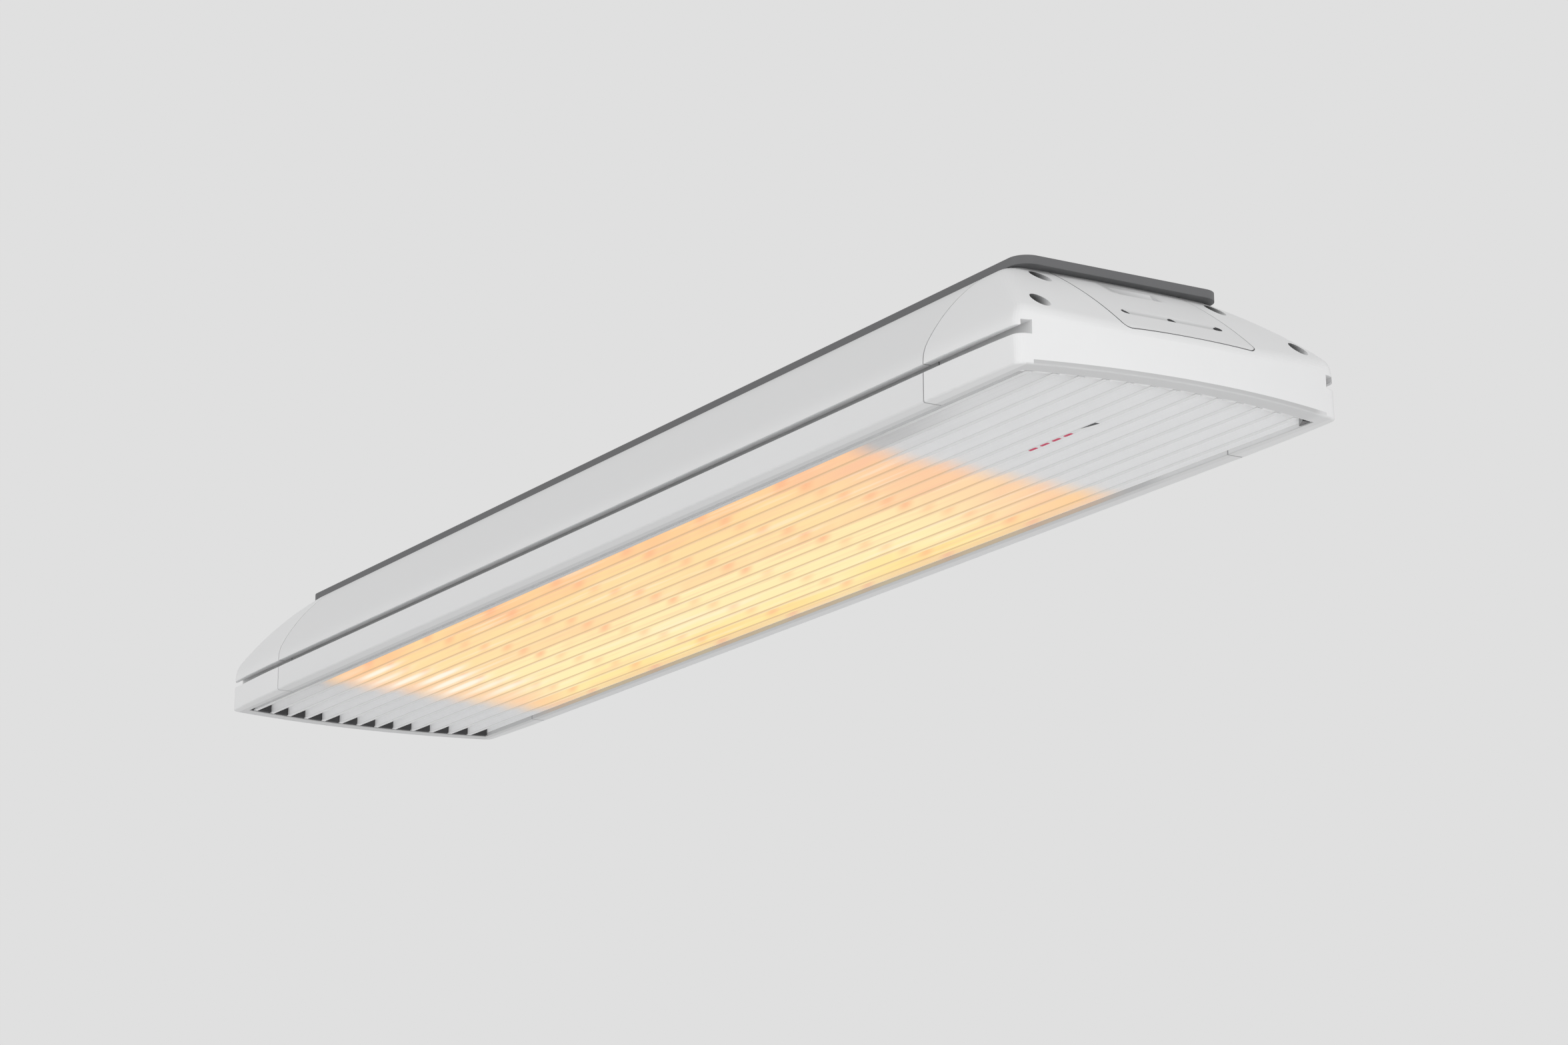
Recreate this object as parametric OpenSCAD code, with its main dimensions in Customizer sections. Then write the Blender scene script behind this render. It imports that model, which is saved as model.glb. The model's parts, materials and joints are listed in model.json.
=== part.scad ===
// Ceiling radiant heater, pictured from below with its front turned down.
// An extruded housing and two blended end caps carry a folded front grille, a double
// trough reflector with two quartz lamps, and the controls behind the unlit end.
// The origin is the middle of the mounting plate's upper face, +Z up, and +X runs
// towards the control end. Heights in the modules are counted up from the front rim.

/* [Housing] */
// Length of the extruded housing
housing_l = 773; // [700:1:1000]
// Width of the heater
body_w = 200; // [195:1:220]
// Height from the front rim to the flat roof
body_h = 70.4; // [68:0.1:76]
// Wall of the housing and of the end caps
wall_t = 2.2; // [1.6:0.1:2.6]
// Height of the upright lower part of each side
shoulder_z = 21; // [19:0.5:23]
// Radius of the shoulder above it
shoulder_r = 22; // [18:0.5:26]
// Turn of the shoulder, in degrees
shoulder_turn = 28; // [25:1:31]
// Radius of the bowed flank above the shoulder
flank_r = 117.2; // [112:0.1:130]

/* [Front rim] */
// Width of the rim along the long sides
rim_w = 10.5; // [9:0.1:12]
// Width of the rim at the ends
rim_end_w = 10; // [8:0.1:12]
// Thickness of the rim
rim_t = 2.5; // [2:0.1:3]
// Rounding of the rim's outer edge
rim_edge_r = 1; // [0.5:0.1:1.5]

/* [Hook channels] */
// Height of the side slot above the rim
slot_z = 15.5; // [14:0.1:16]
// Height of the side slot
slot_h = 4.4; // [4.2:0.1:5]
// Thickness of the lip outside the channel
lip_t = 4.5; // [4:0.1:5]
// Depth of the channel behind the lip
hook_d = 5.2; // [4.6:0.1:5.6]
// Height of the channel behind the lip
hook_h = 7; // [6.5:0.1:7.5]

/* [End caps] */
// Length of an end cap
cap_l = 91; // [87:0.5:100]
// Bow of the end in plan
end_bow = 13; // [11:0.5:17]
// Draw-in of each side at the corner
cap_taper = 2.2; // [1.6:0.1:4]
// Height of the upright end band in the middle
slope_foot_z = 23.5; // [20:0.5:27]
// Length over which the sloped face reaches the roof
slope_run = 64.5; // [60:0.5:68]
// Crown of the sloped face
slope_crown = 2; // [1.2:0.1:2.6]
// Bow of the sloped face in plan
slope_bow = 5.5; // [2:0.5:7]
// Softness of the edge between the band and the slope
band_blend = 4; // [3:0.5:12]
// Length of the corner blend at the rim
corner_l = 3.5; // [3:0.5:8]
// Growth of the corner blend up to the roof
corner_grow = 6; // [3:0.5:10]

/* [End cap screws] */
// Distance of the upper screws from the side
upper_screw_in = 45.5; // [43:0.5:47]
// Distance of the upper screws below the roof
upper_screw_drop = 7.9; // [7.6:0.1:10.4]
// Distance of the lower screws from the side
lower_screw_in = 20.5; // [19:0.5:22]
// Place of the lower screws, above the rim
lower_screw_z = 36.5; // [35:0.5:38]
// Radius of the deep wells for the screw heads
well_r = 4.6; // [4.2:0.1:5]
// Radius of the screw shanks
screw_r = 2; // [1.7:0.1:2.2]

/* [Connection cover] */
// Space between the cover and the middle of the upper screws
cover_side_gap = 14.5; // [11.5:0.5:16]
// Space between the cover and the foot of the slope
cover_foot_gap = 3.4; // [2.8:0.1:7]
// Thickness of the cover
cover_t = 2.6; // [2.2:0.1:3]
// Gap round the cover
cover_gap = 0.6; // [0.4:0.1:1]
// Distance of the outer cover screws from the cover's sides
cover_screw_in = 11.5; // [9:0.5:18]

/* [Front grille] */
// Number of whole folds across the grille
folds = 13; // [9:1:16]
// Depth of a fold
fold_h = 5.8; // [4.5:0.1:6.5]
// Width of the flat land at the foot of a fold
land_w = 2.9; // [2.5:0.1:3.4]
// Thickness of the folded sheet
grille_t = 0.9; // [0.7:0.1:1]

/* [Reflector and lamps] */
// Length of housing kept free at the far end
far_bay_l = 16.5; // [12:0.5:24]
// Length of housing behind the unlit end of the grille
control_bay_l = 91.5; // [88:0.5:110]
// Height of the reflector's crests
crest_z = 42; // [40:0.5:44]
// Height of the reflector's lowest folds
trough_z = 10; // [9:0.5:12]
// Thickness of the reflector sheet
sheet_t = 0.8; // [0.6:0.1:1]
// Outer radius of a lamp tube
tube_r = 6; // [5.5:0.1:6.5]
// Wall of a lamp tube
tube_wall = 1.2; // [1:0.1:1.5]
// Pitch of the filament's support discs
support_pitch = 85.3; // [70:0.1:90]

/* [Mounting plate] */
// Reach of the mounting plate past each end of the housing
plate_reach = 34; // [30:0.5:60]
// Distance of the mounting plate from the sides of the heater
plate_side_gap = 37; // [34:0.5:38]
// Thickness of the mounting plate
plate_t = 4.6; // [4:0.1:6]
// Corner radius of the mounting plate
plate_corner_r = 10; // [5:0.5:15]
// Distance of the ceiling screws from the plate's ends
ceiling_in_x = 100.5; // [94:0.5:150]
// Distance of the ceiling screws from the plate's sides
ceiling_in_y = 23; // [20:0.5:34]
// Radius of the ceiling screw holes
ceiling_hole_r = 2.75; // [2.25:0.05:3.25]
// Radius of the supply cable's bore
cable_r = 4.5; // [3.5:0.1:5.5]

/* [Hidden] */

$fn = 48;

// Clearances and overruns shared by all pieces
overrun = 1;
fit = 0.3;
slip = 0.1;
part_gap = 6;

// Shapes of the body that follow from the sizes above
half_w = body_w / 2;
total_h = body_h + plate_t;
window_half_w = half_w - rim_w;
gasket_t = 1;
gasket_recess = 0.5;
seam_x = housing_l / 2 + gasket_t;
tip_x = seam_x + cap_l;

// Centres of the shoulder and flank arcs, as across and up
shoulder_c = [half_w - shoulder_r, shoulder_z];
flank_c = shoulder_c - (flank_r - shoulder_r) * [cos(shoulder_turn), sin(shoulder_turn)];
shoulder_steps = 7;
flank_steps = 16;
edge_steps = 4;

// Arcs of the end and of the caps' sides in plan
end_half_w = half_w - cap_taper;
end_r = (pow(end_half_w, 2) + pow(end_bow, 2)) / (2 * end_bow);
end_cx = tip_x - end_r;
taper_run = cap_l - end_bow;
taper_r = (pow(taper_run, 2) + pow(cap_taper, 2)) / (2 * cap_taper);
cap_side_steps = 5;
cap_corner_steps = 6;
cap_end_steps = 13;
plan_fn = 180;

// Sloped face of the end caps, as a flat arc from the foot to the roof's edge
slope_rise = body_h - slope_foot_z;
slope_len = norm([slope_run, slope_rise]);
slope_turn = atan2(slope_rise, slope_run);
slope_r = (pow(slope_len / 2, 2) + pow(slope_crown, 2)) / (2 * slope_crown);
slope_c = [tip_x - slope_run / 2, slope_foot_z + slope_rise / 2]
    - (slope_r - slope_crown) * [slope_rise, slope_run] / slope_len;

// Channel and ledge on the inside of both long walls
hook_y = half_w - lip_t - hook_d;
channel_wall_y = hook_y - wall_t;
ledge_z = slot_z + hook_h + wall_t;

// Screw ports, wells and screws of the end caps
upper_screw_y = half_w - upper_screw_in;
upper_screw_z = body_h - upper_screw_drop;
lower_screw_y = half_w - lower_screw_in;
port_r = 4;
port_bore_r = screw_r - fit;
port_web = 2;
well_wall = 1.9;
well_floor = 5;
cap_screw_l = 19;
head_r = 3.8;
head_h = 2.6;

// Connection cover, measured down the slope from the roof's edge
cover_w = 2 * (upper_screw_y - cover_side_gap);
cover_l = slope_len - cover_foot_gap;
cover_overlap = 8;
cover_corner_r = 4;
cover_margin = 5;
cover_pitch = cover_w / 2 - cover_screw_in;
cover_screw_foot = 20.7;
cover_screw_s = cover_l - cover_screw_foot;
cover_screw_r = 1.2;
cover_screw_l = 6;
cover_head_r = 2.1;
cover_head_h = 1.5;
cover_groove_r = 9;
cover_groove_depth = 0.8;
cover_head_sink = 1.8;
scoop_s = 18;
scoop_r = 14;
scoop_depth = 1.4;
scoop_l = cover_w / 3;
access_s = 9;
access_l = cover_screw_s - 2 * access_s;
access_w = cover_w - 2 * cover_overlap;

// Grille: folds start after a narrow first gap beside the rim
land_z = 0.2;
first_gap = 2.7;
flange_w = 4.8;
grille_edge_y = window_half_w - fit;
fold_start_y = first_gap - grille_edge_y;
fold_pitch = (grille_edge_y - fold_start_y) / folds;
fold_slope = (fold_h - land_z) / (fold_pitch - land_w);

// Seals that close the ends of the folds
seal_t = 1.3;
seal_tooth_l = 2.2;
seal_lip_w = 4;
seal_lip_t = 1.2;
window_r = end_r - rim_end_w;
grille_end_r = window_r - seal_t - 2 * fit;

// Lights and receiver set in the grille
led_count = 4;
led_inset = 49;
led_x = housing_l / 2 - control_bay_l + led_inset;
led_pitch = 10.35;
led_l = 6.7;
led_w = 1.5;
led_fold = 6;
guide_bar_h = 2;
guide_stem_l = 4;
receiver_l = 9;
receiver_w = 5;

// Reflector, lamps and what lies over them
reflector_x0 = far_bay_l - housing_l / 2;
reflector_x1 = housing_l / 2 - control_bay_l;
reflector_l = reflector_x1 - reflector_x0;
leg_gap = 0.9;
leg_y = channel_wall_y - leg_gap;
lamp_y = leg_y / 2;
trough_f = pow(lamp_y, 2) / (4 * (crest_z - trough_z));
lamp_z = crest_z - trough_f;
trough_steps = 14;
reflector_flange_w = 7;
lamp_hole_gap = 1;
mat_t = 6;
mat_w = 2 * (upper_screw_y - port_r - part_gap / 2);
shield_drop = 5;
mat_z = crest_z + sheet_t + fit;
shield_top_z = mat_z + mat_t + sheet_t;
lamp_cap_r = 7.5;
lamp_cap_l = 24;
lamp_cap_socket = 12;
lamp_cap_gap = 2;
filament_r = 1.6;
support_disc_r = 4.4;
support_disc_t = 0.6;
support_first = 87;
support_count = 1 + floor((reflector_l - support_first - lamp_cap_l) / support_pitch);
bracket_t = 1.2;
bracket_x = 14;
bracket_w = 2 * (lamp_y + 2 * lamp_cap_r);
bracket_z = 14;

// Ends of the lamps' glass, inside their ceramic caps
lamp_x0 = reflector_x0 - sheet_t - lamp_cap_gap - lamp_cap_socket;
lamp_x1 = reflector_x1 + sheet_t + lamp_cap_gap + lamp_cap_socket;

// Mounting plate with its studs, and the keyholes that they hang in
plate_l = housing_l + 2 * plate_reach;
plate_w = body_w - 2 * plate_side_gap;
ceiling_pitch_x = plate_l - 2 * ceiling_in_x;
ceiling_pitch_y = plate_w - 2 * ceiling_in_y;
stud_x = housing_l / 3;
stud_y = plate_w / 4;
stud_r = 3;
stud_head_r = 5.6;
stud_head_h = 2.4;
stud_head_z = body_h - wall_t - fit - stud_head_h;
keyhole_travel = 15;
countersink_r = 5.4;
countersink_depth = 2.6;

// Leads of the lamps, half-way between the heat shield and the studs' heads
lead_r = 1.4;
lead_sides = 8;
lead_bend = 2.5;
lead_top_z = (shield_top_z + stud_head_z) / 2;
lead_entry = 12;
lead_step = 7;
lead_gap = 2.3;

// Controls behind the unlit end of the grille
tray_t = 1.2;
tray_inset = 35;
tray_x = reflector_x1 + tray_inset;
tray_l = 92;
tray_side_gap = 7;
tray_half_w = half_w - tray_side_gap;
bulkhead_side_gap = 30;
bulkhead_w = body_w - 2 * bulkhead_side_gap;
bulkhead_z = lead_top_z - lead_r - lead_gap;
pillar_r = 3;
pillar_h = 8;
board_inset = 8;
board_x = tray_x + board_inset;
board_l = 46;
board_side_gap = 40;
board_w = body_w - 2 * board_side_gap;
board_t = 1.6;
board_z = ledge_z + tray_t + pillar_h;
board_room = body_h - wall_t - board_z - board_t;
pillar_inset = 5;
relay_size = [13, board_w * 0.24, 15.5];
relay_y = [board_w * -0.34, board_w * -0.08];
capacitor_r = board_w / 24;
capacitor_h = board_room * 0.38;
capacitor_y = [board_w * 0.225, board_w * 0.32, board_w * 0.415];
sink_size = [18, 12, board_room * 2 / 3];
sink_fins = 5;
sink_base_t = 3;
sink_fin_t = 1.5;
terminal_size = [16, 46, 17];
terminal_poles = 5;
terminal_wire_r = 2.1;
terminal_screw_r = 1.6;

// Way of the supply cable
bush_inset = 26;
bush_x = tray_x + bush_inset;
bush_r = 8;
bush_flange_r = 11;
bush_flange_t = 2.4;
plate_cable_r = 13;

// Lowers a shape drawn up from the front rim to its place under the ceiling
module hang() {
    translate([0, 0, -total_h]) children();
}

// Stretches a drawing of across and up into a bar along the heater
module along(x0, x1) {
    translate([x0, 0, 0]) rotate([90, 0, 90]) linear_extrude(x1 - x0) children();
}

// Half-width of the body at a height, drawn in by a wall
function side_y(z, inset = 0) =
    z <= shoulder_z ? half_w - inset
    : z <= shoulder_z + (shoulder_r - inset) * sin(shoulder_turn)
        ? shoulder_c.x + sqrt(pow(shoulder_r - inset, 2) - pow(z - shoulder_c.y, 2))
        : flank_c.x + sqrt(pow(flank_r - inset, 2) - pow(z - flank_c.y, 2));

// Heights at which the side is drawn, even along its two arcs
function side_levels(inset = 0) =
    let (top_turn = asin((body_h - inset - flank_c.y) / (flank_r - inset)))
    concat(
        [for (i = [0:shoulder_steps])
            shoulder_z + (shoulder_r - inset) * sin(shoulder_turn * i / shoulder_steps)],
        [for (i = [1:flank_steps])
            flank_c.y + (flank_r - inset)
                * sin(shoulder_turn + (top_turn - shoulder_turn) * i / flank_steps)]);

// Rounding of the rim's outer edge, as draw-in and height
function edge_points(inset) =
    [for (i = [0:edge_steps])
        let (a = 90 * i / edge_steps)
        [inset + rim_edge_r * (1 - sin(a)), rim_edge_r * (1 - cos(a))]];

function mirrored(half) = [for (i = [len(half) - 1:-1:0]) [-half[i].x, half[i].y]];

// Outline of the body across, with a rounded rim
function body_outline(inset = 0) =
    let (half = concat(
        [for (e = edge_points(inset)) [half_w - e.x, e.y]],
        [for (z = side_levels(inset)) [side_y(z, inset), z]]))
    concat(half, mirrored(half));

// Outline of the hollow inside, standing on the rim
function hollow_outline() =
    let (half = concat([[half_w - wall_t, rim_t]],
        [for (z = side_levels(wall_t)) [side_y(z, wall_t), z]]))
    concat(half, mirrored(half));

// Hook channel of one side: the mouth and the wider part behind the lip
module channel_cut(side) {
    scale([side, 1]) {
        translate([half_w - lip_t - slip, slot_z]) square([lip_t + overrun, slot_h]);
        translate([hook_y, slot_z]) square([hook_d, hook_h]);
    }
}

// Walls that close the hook channel towards the inside
module channel_walls(side) {
    scale([side, 1])
        translate([channel_wall_y, slot_z - wall_t])
            square([half_w - wall_t / 2 - channel_wall_y, hook_h + 2 * wall_t]);
}

module front_window_cut() {
    translate([-window_half_w, -overrun]) square([2 * window_half_w, rim_t + 2 * overrun]);
}

// Section shared by the housing and its gaskets
module shell_section(inset = 0) {
    difference() {
        polygon(body_outline(inset));
        difference() {
            polygon(hollow_outline());
            for (side = [-1, 1]) channel_walls(side);
            children();
        }
        for (side = [-1, 1]) channel_cut(side);
        front_window_cut();
    }
}

// Screw ports of the extrusion, each on a web to the nearest wall
module screw_ports() {
    for (side = [-1, 1]) scale([side, 1]) {
        translate([upper_screw_y, upper_screw_z]) circle(r = port_r);
        translate([upper_screw_y - port_web / 2, upper_screw_z])
            square([port_web, body_h - wall_t / 2 - upper_screw_z]);
        translate([lower_screw_y, lower_screw_z]) circle(r = port_r);
        translate([lower_screw_y, lower_screw_z - port_web / 2])
            square([side_y(lower_screw_z) - wall_t / 2 - lower_screw_y, port_web]);
    }
}

// Places of the four end cap screws, across and up
function screw_places() =
    [for (side = [-1, 1], p = [[upper_screw_y, upper_screw_z], [lower_screw_y, lower_screw_z]])
        [side * p.x, p.y]];

module keyhole(x, y) {
    translate([x, y, body_h - wall_t - overrun]) {
        translate([keyhole_travel, 0, 0]) cylinder(r = stud_head_r + 2 * fit, h = wall_t + 2 * overrun);
        cylinder(r = stud_r + fit, h = wall_t + 2 * overrun);
        translate([0, -stud_r - fit, 0])
            cube([keyhole_travel, 2 * (stud_r + fit), wall_t + 2 * overrun]);
    }
}

module housing() {
    color("whitesmoke") hang() difference() {
        along(-housing_l / 2, housing_l / 2) difference() {
            shell_section() screw_ports();
            for (p = screw_places()) translate(p) circle(r = port_bore_r);
        }
        for (x = [-1, 1], y = [-1, 1]) keyhole(x * stud_x, y * stud_y);
        translate([bush_x, 0, body_h - wall_t - overrun])
            cylinder(r = bush_r + slip, h = wall_t + 2 * overrun);
    }
}

// Draw-in of a cap's side at a distance past the seam
function taper_in(x) =
    taper_r - sqrt(pow(taper_r, 2) - pow(max(0, x - seam_x), 2));

// The lower of two values with a soft change-over
function soft_min(a, b, k) =
    let (h = max(k - abs(a - b), 0) / k)
    min(a, b) - h * h * k / 4;

// Reach of the end at a place across and a height
function end_x(y, z, inset = 0) =
    soft_min(
        end_cx + sqrt(pow(end_r - inset, 2) - y * y),
        slope_c.x + sqrt(pow(slope_r - inset, 2) - pow(z - slope_c.y, 2)) - slope_bow * pow(y / half_w, 2),
        band_blend);

// Level outline of a cap: side, blended corner and bowed end, then mirrored
function cap_ring(z, inset, x0) =
    let (
        y_side = side_y(z, inset),
        x_far = end_x(y_side - cap_taper, z, inset),
        y_c = y_side - taper_in(x_far),
        x_c = end_x(y_c, z, inset),
        d = corner_l + corner_grow * z / body_h,
        p0 = [x_c - d, y_side - taper_in(x_c - d)],
        p2 = [end_x(y_c - d, z, inset), y_c - d],
        half = concat(
            [for (i = [0:cap_side_steps - 1])
                let (x = x0 + (p0.x - x0) * i / cap_side_steps)
                [x, y_side - taper_in(x), z]],
            [for (i = [0:cap_corner_steps - 1])
                let (t = i / cap_corner_steps,
                    p = (1 - t) * (1 - t) * p0 + 2 * t * (1 - t) * [x_c, y_c] + t * t * p2)
                [p.x, p.y, z]],
            [for (i = [0:cap_end_steps])
                let (y = p2.y * (1 - i / cap_end_steps))
                [end_x(y, z, inset), y, z]]))
    concat(half, [for (i = [len(half) - 2:-1:0]) [half[i].x, -half[i].y, z]]);

// Skin through a stack of level outlines with the same number of points
module loft(rings) {
    n = len(rings[0]);
    m = len(rings);
    polyhedron(
        points = [for (ring = rings) for (p = ring) p],
        faces = concat(
            [[for (i = [n - 1:-1:0]) i]],
            [for (k = [0:m - 2], i = [0:n - 1])
                let (j = (i + 1) % n)
                [k * n + i, (k + 1) * n + j, (k + 1) * n + i]],
            [for (k = [0:m - 2], i = [0:n - 1])
                let (j = (i + 1) % n)
                [k * n + i, k * n + j, (k + 1) * n + j]],
            [[for (i = [0:n - 1]) (m - 1) * n + i]]));
}

// Outside of a cap as a solid block
module cap_block() {
    loft(concat(
        [for (e = edge_points(0)) cap_ring(e.y, e.x, seam_x)],
        [for (z = side_levels()) cap_ring(z, 0, seam_x)]));
}

// Hollow of a cap, standing on the rim
module cap_hollow() {
    loft(concat(
        [cap_ring(rim_t, wall_t, seam_x - overrun)],
        [for (z = side_levels(wall_t)) cap_ring(z, wall_t, seam_x - overrun)]));
}

// Moves a shape to the sloped face, x down the slope from the roof's edge and z outwards
module on_slope() {
    translate([tip_x - slope_run, 0, body_h]) rotate([0, slope_turn, 0]) children();
}

// Height of the sloped face over its chord, at a distance from the roof's edge
function crown_at(s) = slope_crown * (1 - pow(2 * s / slope_len - 1, 2));

// Depth of the cover screws' heads below the chord
function cover_head_depth() = cover_head_h + cover_head_sink - crown_at(cover_screw_s);

// Room of the cover, or the cover's own slab, as a block on the slope
module cover_slab(gap, depth) {
    on_slope() translate([0, 0, -depth]) linear_extrude(depth + slope_crown + overrun)
        offset(r = cover_corner_r + gap) offset(delta = -cover_corner_r)
            translate([-cover_overlap, -cover_w / 2]) square([cover_overlap + cover_l, cover_w]);
}

// Seat behind the cover, thick enough for its screws
module cover_seat() {
    on_slope() translate([-cover_overlap, -cover_w / 2 - cover_margin, -cover_t - 2 * wall_t])
        cube([cover_overlap + slope_len, cover_w + 2 * cover_margin, 2 * wall_t + cover_t]);
}

// Way in behind the cover
module cover_access() {
    on_slope() translate([access_s, -access_w / 2, -cover_t - 3 * wall_t])
        cube([access_l, access_w, 4 * wall_t]);
}

// Bores for the cover's screws
module cover_screw_bores(r, depth) {
    for (k = [-1:1])
        on_slope() translate([cover_screw_s, k * cover_pitch, -depth])
            cylinder(r = r, h = depth + slope_crown + overrun);
}

// One end cap at the control end, with or without the pocket for the cover
module end_cap(has_cover) {
    difference() {
        cap_block();
        difference() {
            cap_hollow();
            along(seam_x, tip_x) for (side = [-1, 1]) channel_walls(side);
            along(seam_x, tip_x) for (p = screw_places()) translate(p) circle(r = well_r + well_wall);
            if (has_cover) cover_seat();
        }
        along(seam_x - overrun, tip_x + overrun) for (side = [-1, 1]) channel_cut(side);
        cap_window_cut();
        for (p = screw_places()) {
            along(seam_x - overrun, tip_x) translate(p) circle(r = screw_r + slip);
            along(seam_x + well_floor, tip_x) translate(p) circle(r = well_r);
        }
        if (has_cover) {
            cover_slab(cover_gap, cover_t + slip);
            cover_access();
            cover_screw_bores(cover_screw_r, cover_t + cover_screw_l);
        }
    }
}

// Window in the rim of a cap, bowed like its end
module cap_window_cut() {
    translate([0, 0, -overrun]) linear_extrude(rim_t + 2 * overrun) intersection() {
        translate([end_cx, 0]) circle(r = window_r, $fn = plan_fn);
        translate([seam_x - overrun, -window_half_w]) square([cap_l, 2 * window_half_w]);
    }
}

module end_cap_left() {
    color("white") hang() mirror([1, 0, 0]) end_cap(false);
}

module end_cap_right() {
    color("white") hang() end_cap(true);
}

module end_gasket(x0) {
    along(x0, x0 + gasket_t) shell_section(gasket_recess);
}

module end_gasket_left() {
    color("dimgray") hang() end_gasket(-seam_x);
}

module end_gasket_right() {
    color("dimgray") hang() end_gasket(housing_l / 2);
}

// Pan-head screws of one cap, deep in their wells
module end_cap_screws() {
    for (p = screw_places()) along(seam_x + well_floor - cap_screw_l, seam_x + well_floor)
        translate(p) circle(r = port_bore_r);
    for (p = screw_places()) difference() {
        along(seam_x + well_floor, seam_x + well_floor + head_h) translate(p) circle(r = head_r);
        along(seam_x + well_floor + head_h / 2, seam_x + well_floor + head_h + overrun)
            translate(p) circle(r = head_r / 2, $fn = 6);
    }
}

module end_cap_screws_left() {
    color("gray") hang() mirror([1, 0, 0]) end_cap_screws();
}

module end_cap_screws_right() {
    color("gray") hang() end_cap_screws();
}

// Cover flush with the slope: the cap's own skin between the slab's sides
module connection_cover() {
    color("gainsboro") hang() difference() {
        intersection() {
            cap_block();
            cover_slab(0, cover_t);
        }
        on_slope() translate([scoop_s, -scoop_l / 2, crown_at(scoop_s) + scoop_r - scoop_depth])
            rotate([-90, 0, 0]) cylinder(r = scoop_r, h = scoop_l);
        on_slope() translate([cover_screw_s, -cover_pitch, crown_at(cover_screw_s)])
            translate([0, 0, cover_groove_r - cover_groove_depth])
                rotate([-90, 0, 0]) cylinder(r = cover_groove_r, h = 2 * cover_pitch);
        cover_screw_bores(cover_screw_r + slip, cover_t + overrun);
        cover_screw_bores(cover_head_r + slip, cover_head_depth());
    }
}

module cover_screws() {
    color("dimgray") hang() for (k = [-1:1])
        on_slope() translate([cover_screw_s, k * cover_pitch, -cover_head_depth()]) {
            cylinder(r = cover_head_r, h = cover_head_h);
            translate([0, 0, -cover_screw_l]) cylinder(r = cover_screw_r - slip, h = cover_screw_l);
        }
}

function unit(v) = v / norm(v);
function left_of(a, b) = let (u = unit(b - a)) [-u.y, u.x];

// Strip of even thickness on the left of a line of points, mitred at its bends
function strip(line, t) =
    let (
        n = len(line),
        shifted = [for (i = [0:n - 1])
            let (
                before = left_of(line[max(i - 1, 0)], line[max(i, 1)]),
                after = left_of(line[min(i, n - 2)], line[min(i + 1, n - 1)]))
            line[i] + t * (before + after) / (1 + before * after)])
    concat(line, [for (i = [n - 1:-1:0]) shifted[i]]);

function fold_y(k) = fold_start_y + fold_pitch * k;

// Lower face of the grille from one side flange to the other
function grille_line() = concat(
    [[-grille_edge_y - flange_w, rim_t], [-grille_edge_y, rim_t], [fold_y(0), fold_h]],
    [for (k = [0:folds - 1])
        for (p = [[fold_y(k), land_z], [fold_y(k) + land_w, land_z], [fold_y(k + 1), fold_h]]) p],
    [[grille_edge_y, rim_t], [grille_edge_y + flange_w, rim_t]]);

// Plan of what lies between the two bowed ends
module bowed_plan(r) {
    for (side = [-1, 1]) scale([side, 1]) {
        translate([-overrun, -half_w]) square([end_cx + overrun, body_w]);
        intersection() {
            translate([end_cx, 0]) circle(r = r, $fn = plan_fn);
            translate([0, -half_w]) square([tip_x, body_w]);
        }
    }
}

module led_row() {
    for (k = [0:led_count - 1])
        translate([led_x + led_pitch * k - led_l / 2, 0, 0]) children();
}

// Middle of the free part of the land that holds the lights
function led_y() = fold_y(led_fold) + grille_t + slip + led_w / 2;

module front_grille() {
    color("white") hang() difference() {
        intersection() {
            along(-tip_x, tip_x) polygon(strip(grille_line(), grille_t));
            linear_extrude(body_h) bowed_plan(grille_end_r);
        }
        led_row() translate([-slip / 2, led_y() - led_w / 2 - slip / 2, -overrun])
            cube([led_l + slip, led_w + slip, land_z + grille_t + 2 * overrun]);
    }
}

// Filling of one fold below the sheet, clear of it on every side
function fold_filling(k) =
    let (
        y0 = fold_y(k) + land_w,
        y1 = fold_y(k + 1) - fit,
        drop = fit * norm([1, fold_slope]),
        z0 = land_z + fit)
    [[y0 + (z0 - land_z + drop) / fold_slope, z0], [y1, z0],
        [y1, land_z + fold_slope * (y1 - y0) - drop]];

// Filling of the narrow first gap beside the rim
function first_filling() = [[-grille_edge_y + fit, land_z + fit], [fold_y(0) - fit, land_z + fit],
    [fold_y(0) - fit, fold_h - 2 * fit], [-grille_edge_y + fit, rim_t - fit]];

// Ring-shaped wall between two arcs bowed like the end
module bowed_wall(r0, r1, z0, z1) {
    translate([end_cx, 0, z0]) linear_extrude(z1 - z0) intersection() {
        difference() {
            circle(r = r1, $fn = plan_fn);
            circle(r = r0, $fn = plan_fn);
        }
        translate([0, -grille_edge_y]) square([end_r, 2 * grille_edge_y]);
    }
}

// Toothed seal: a strip and lip on the rim, with a tooth in the end of each fold
module grille_seal(teeth) {
    inner_r = grille_end_r + fit;
    outer_r = window_r - fit;
    bowed_wall(inner_r, outer_r, land_z + fit, rim_t + seal_lip_t);
    bowed_wall(inner_r, window_r + seal_lip_w, rim_t, rim_t + seal_lip_t);
    intersection() {
        along(seam_x, tip_x) {
            for (k = [0:teeth - 1]) polygon(fold_filling(k));
            polygon(first_filling());
        }
        bowed_wall(inner_r - seal_tooth_l, inner_r + seal_t / 2, 0, fold_h);
    }
}

module grille_seal_left() {
    color("black") hang() mirror([1, 0, 0]) grille_seal(folds);
}

module grille_seal_right() {
    color("black") hang() grille_seal(folds - 1);
}

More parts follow.
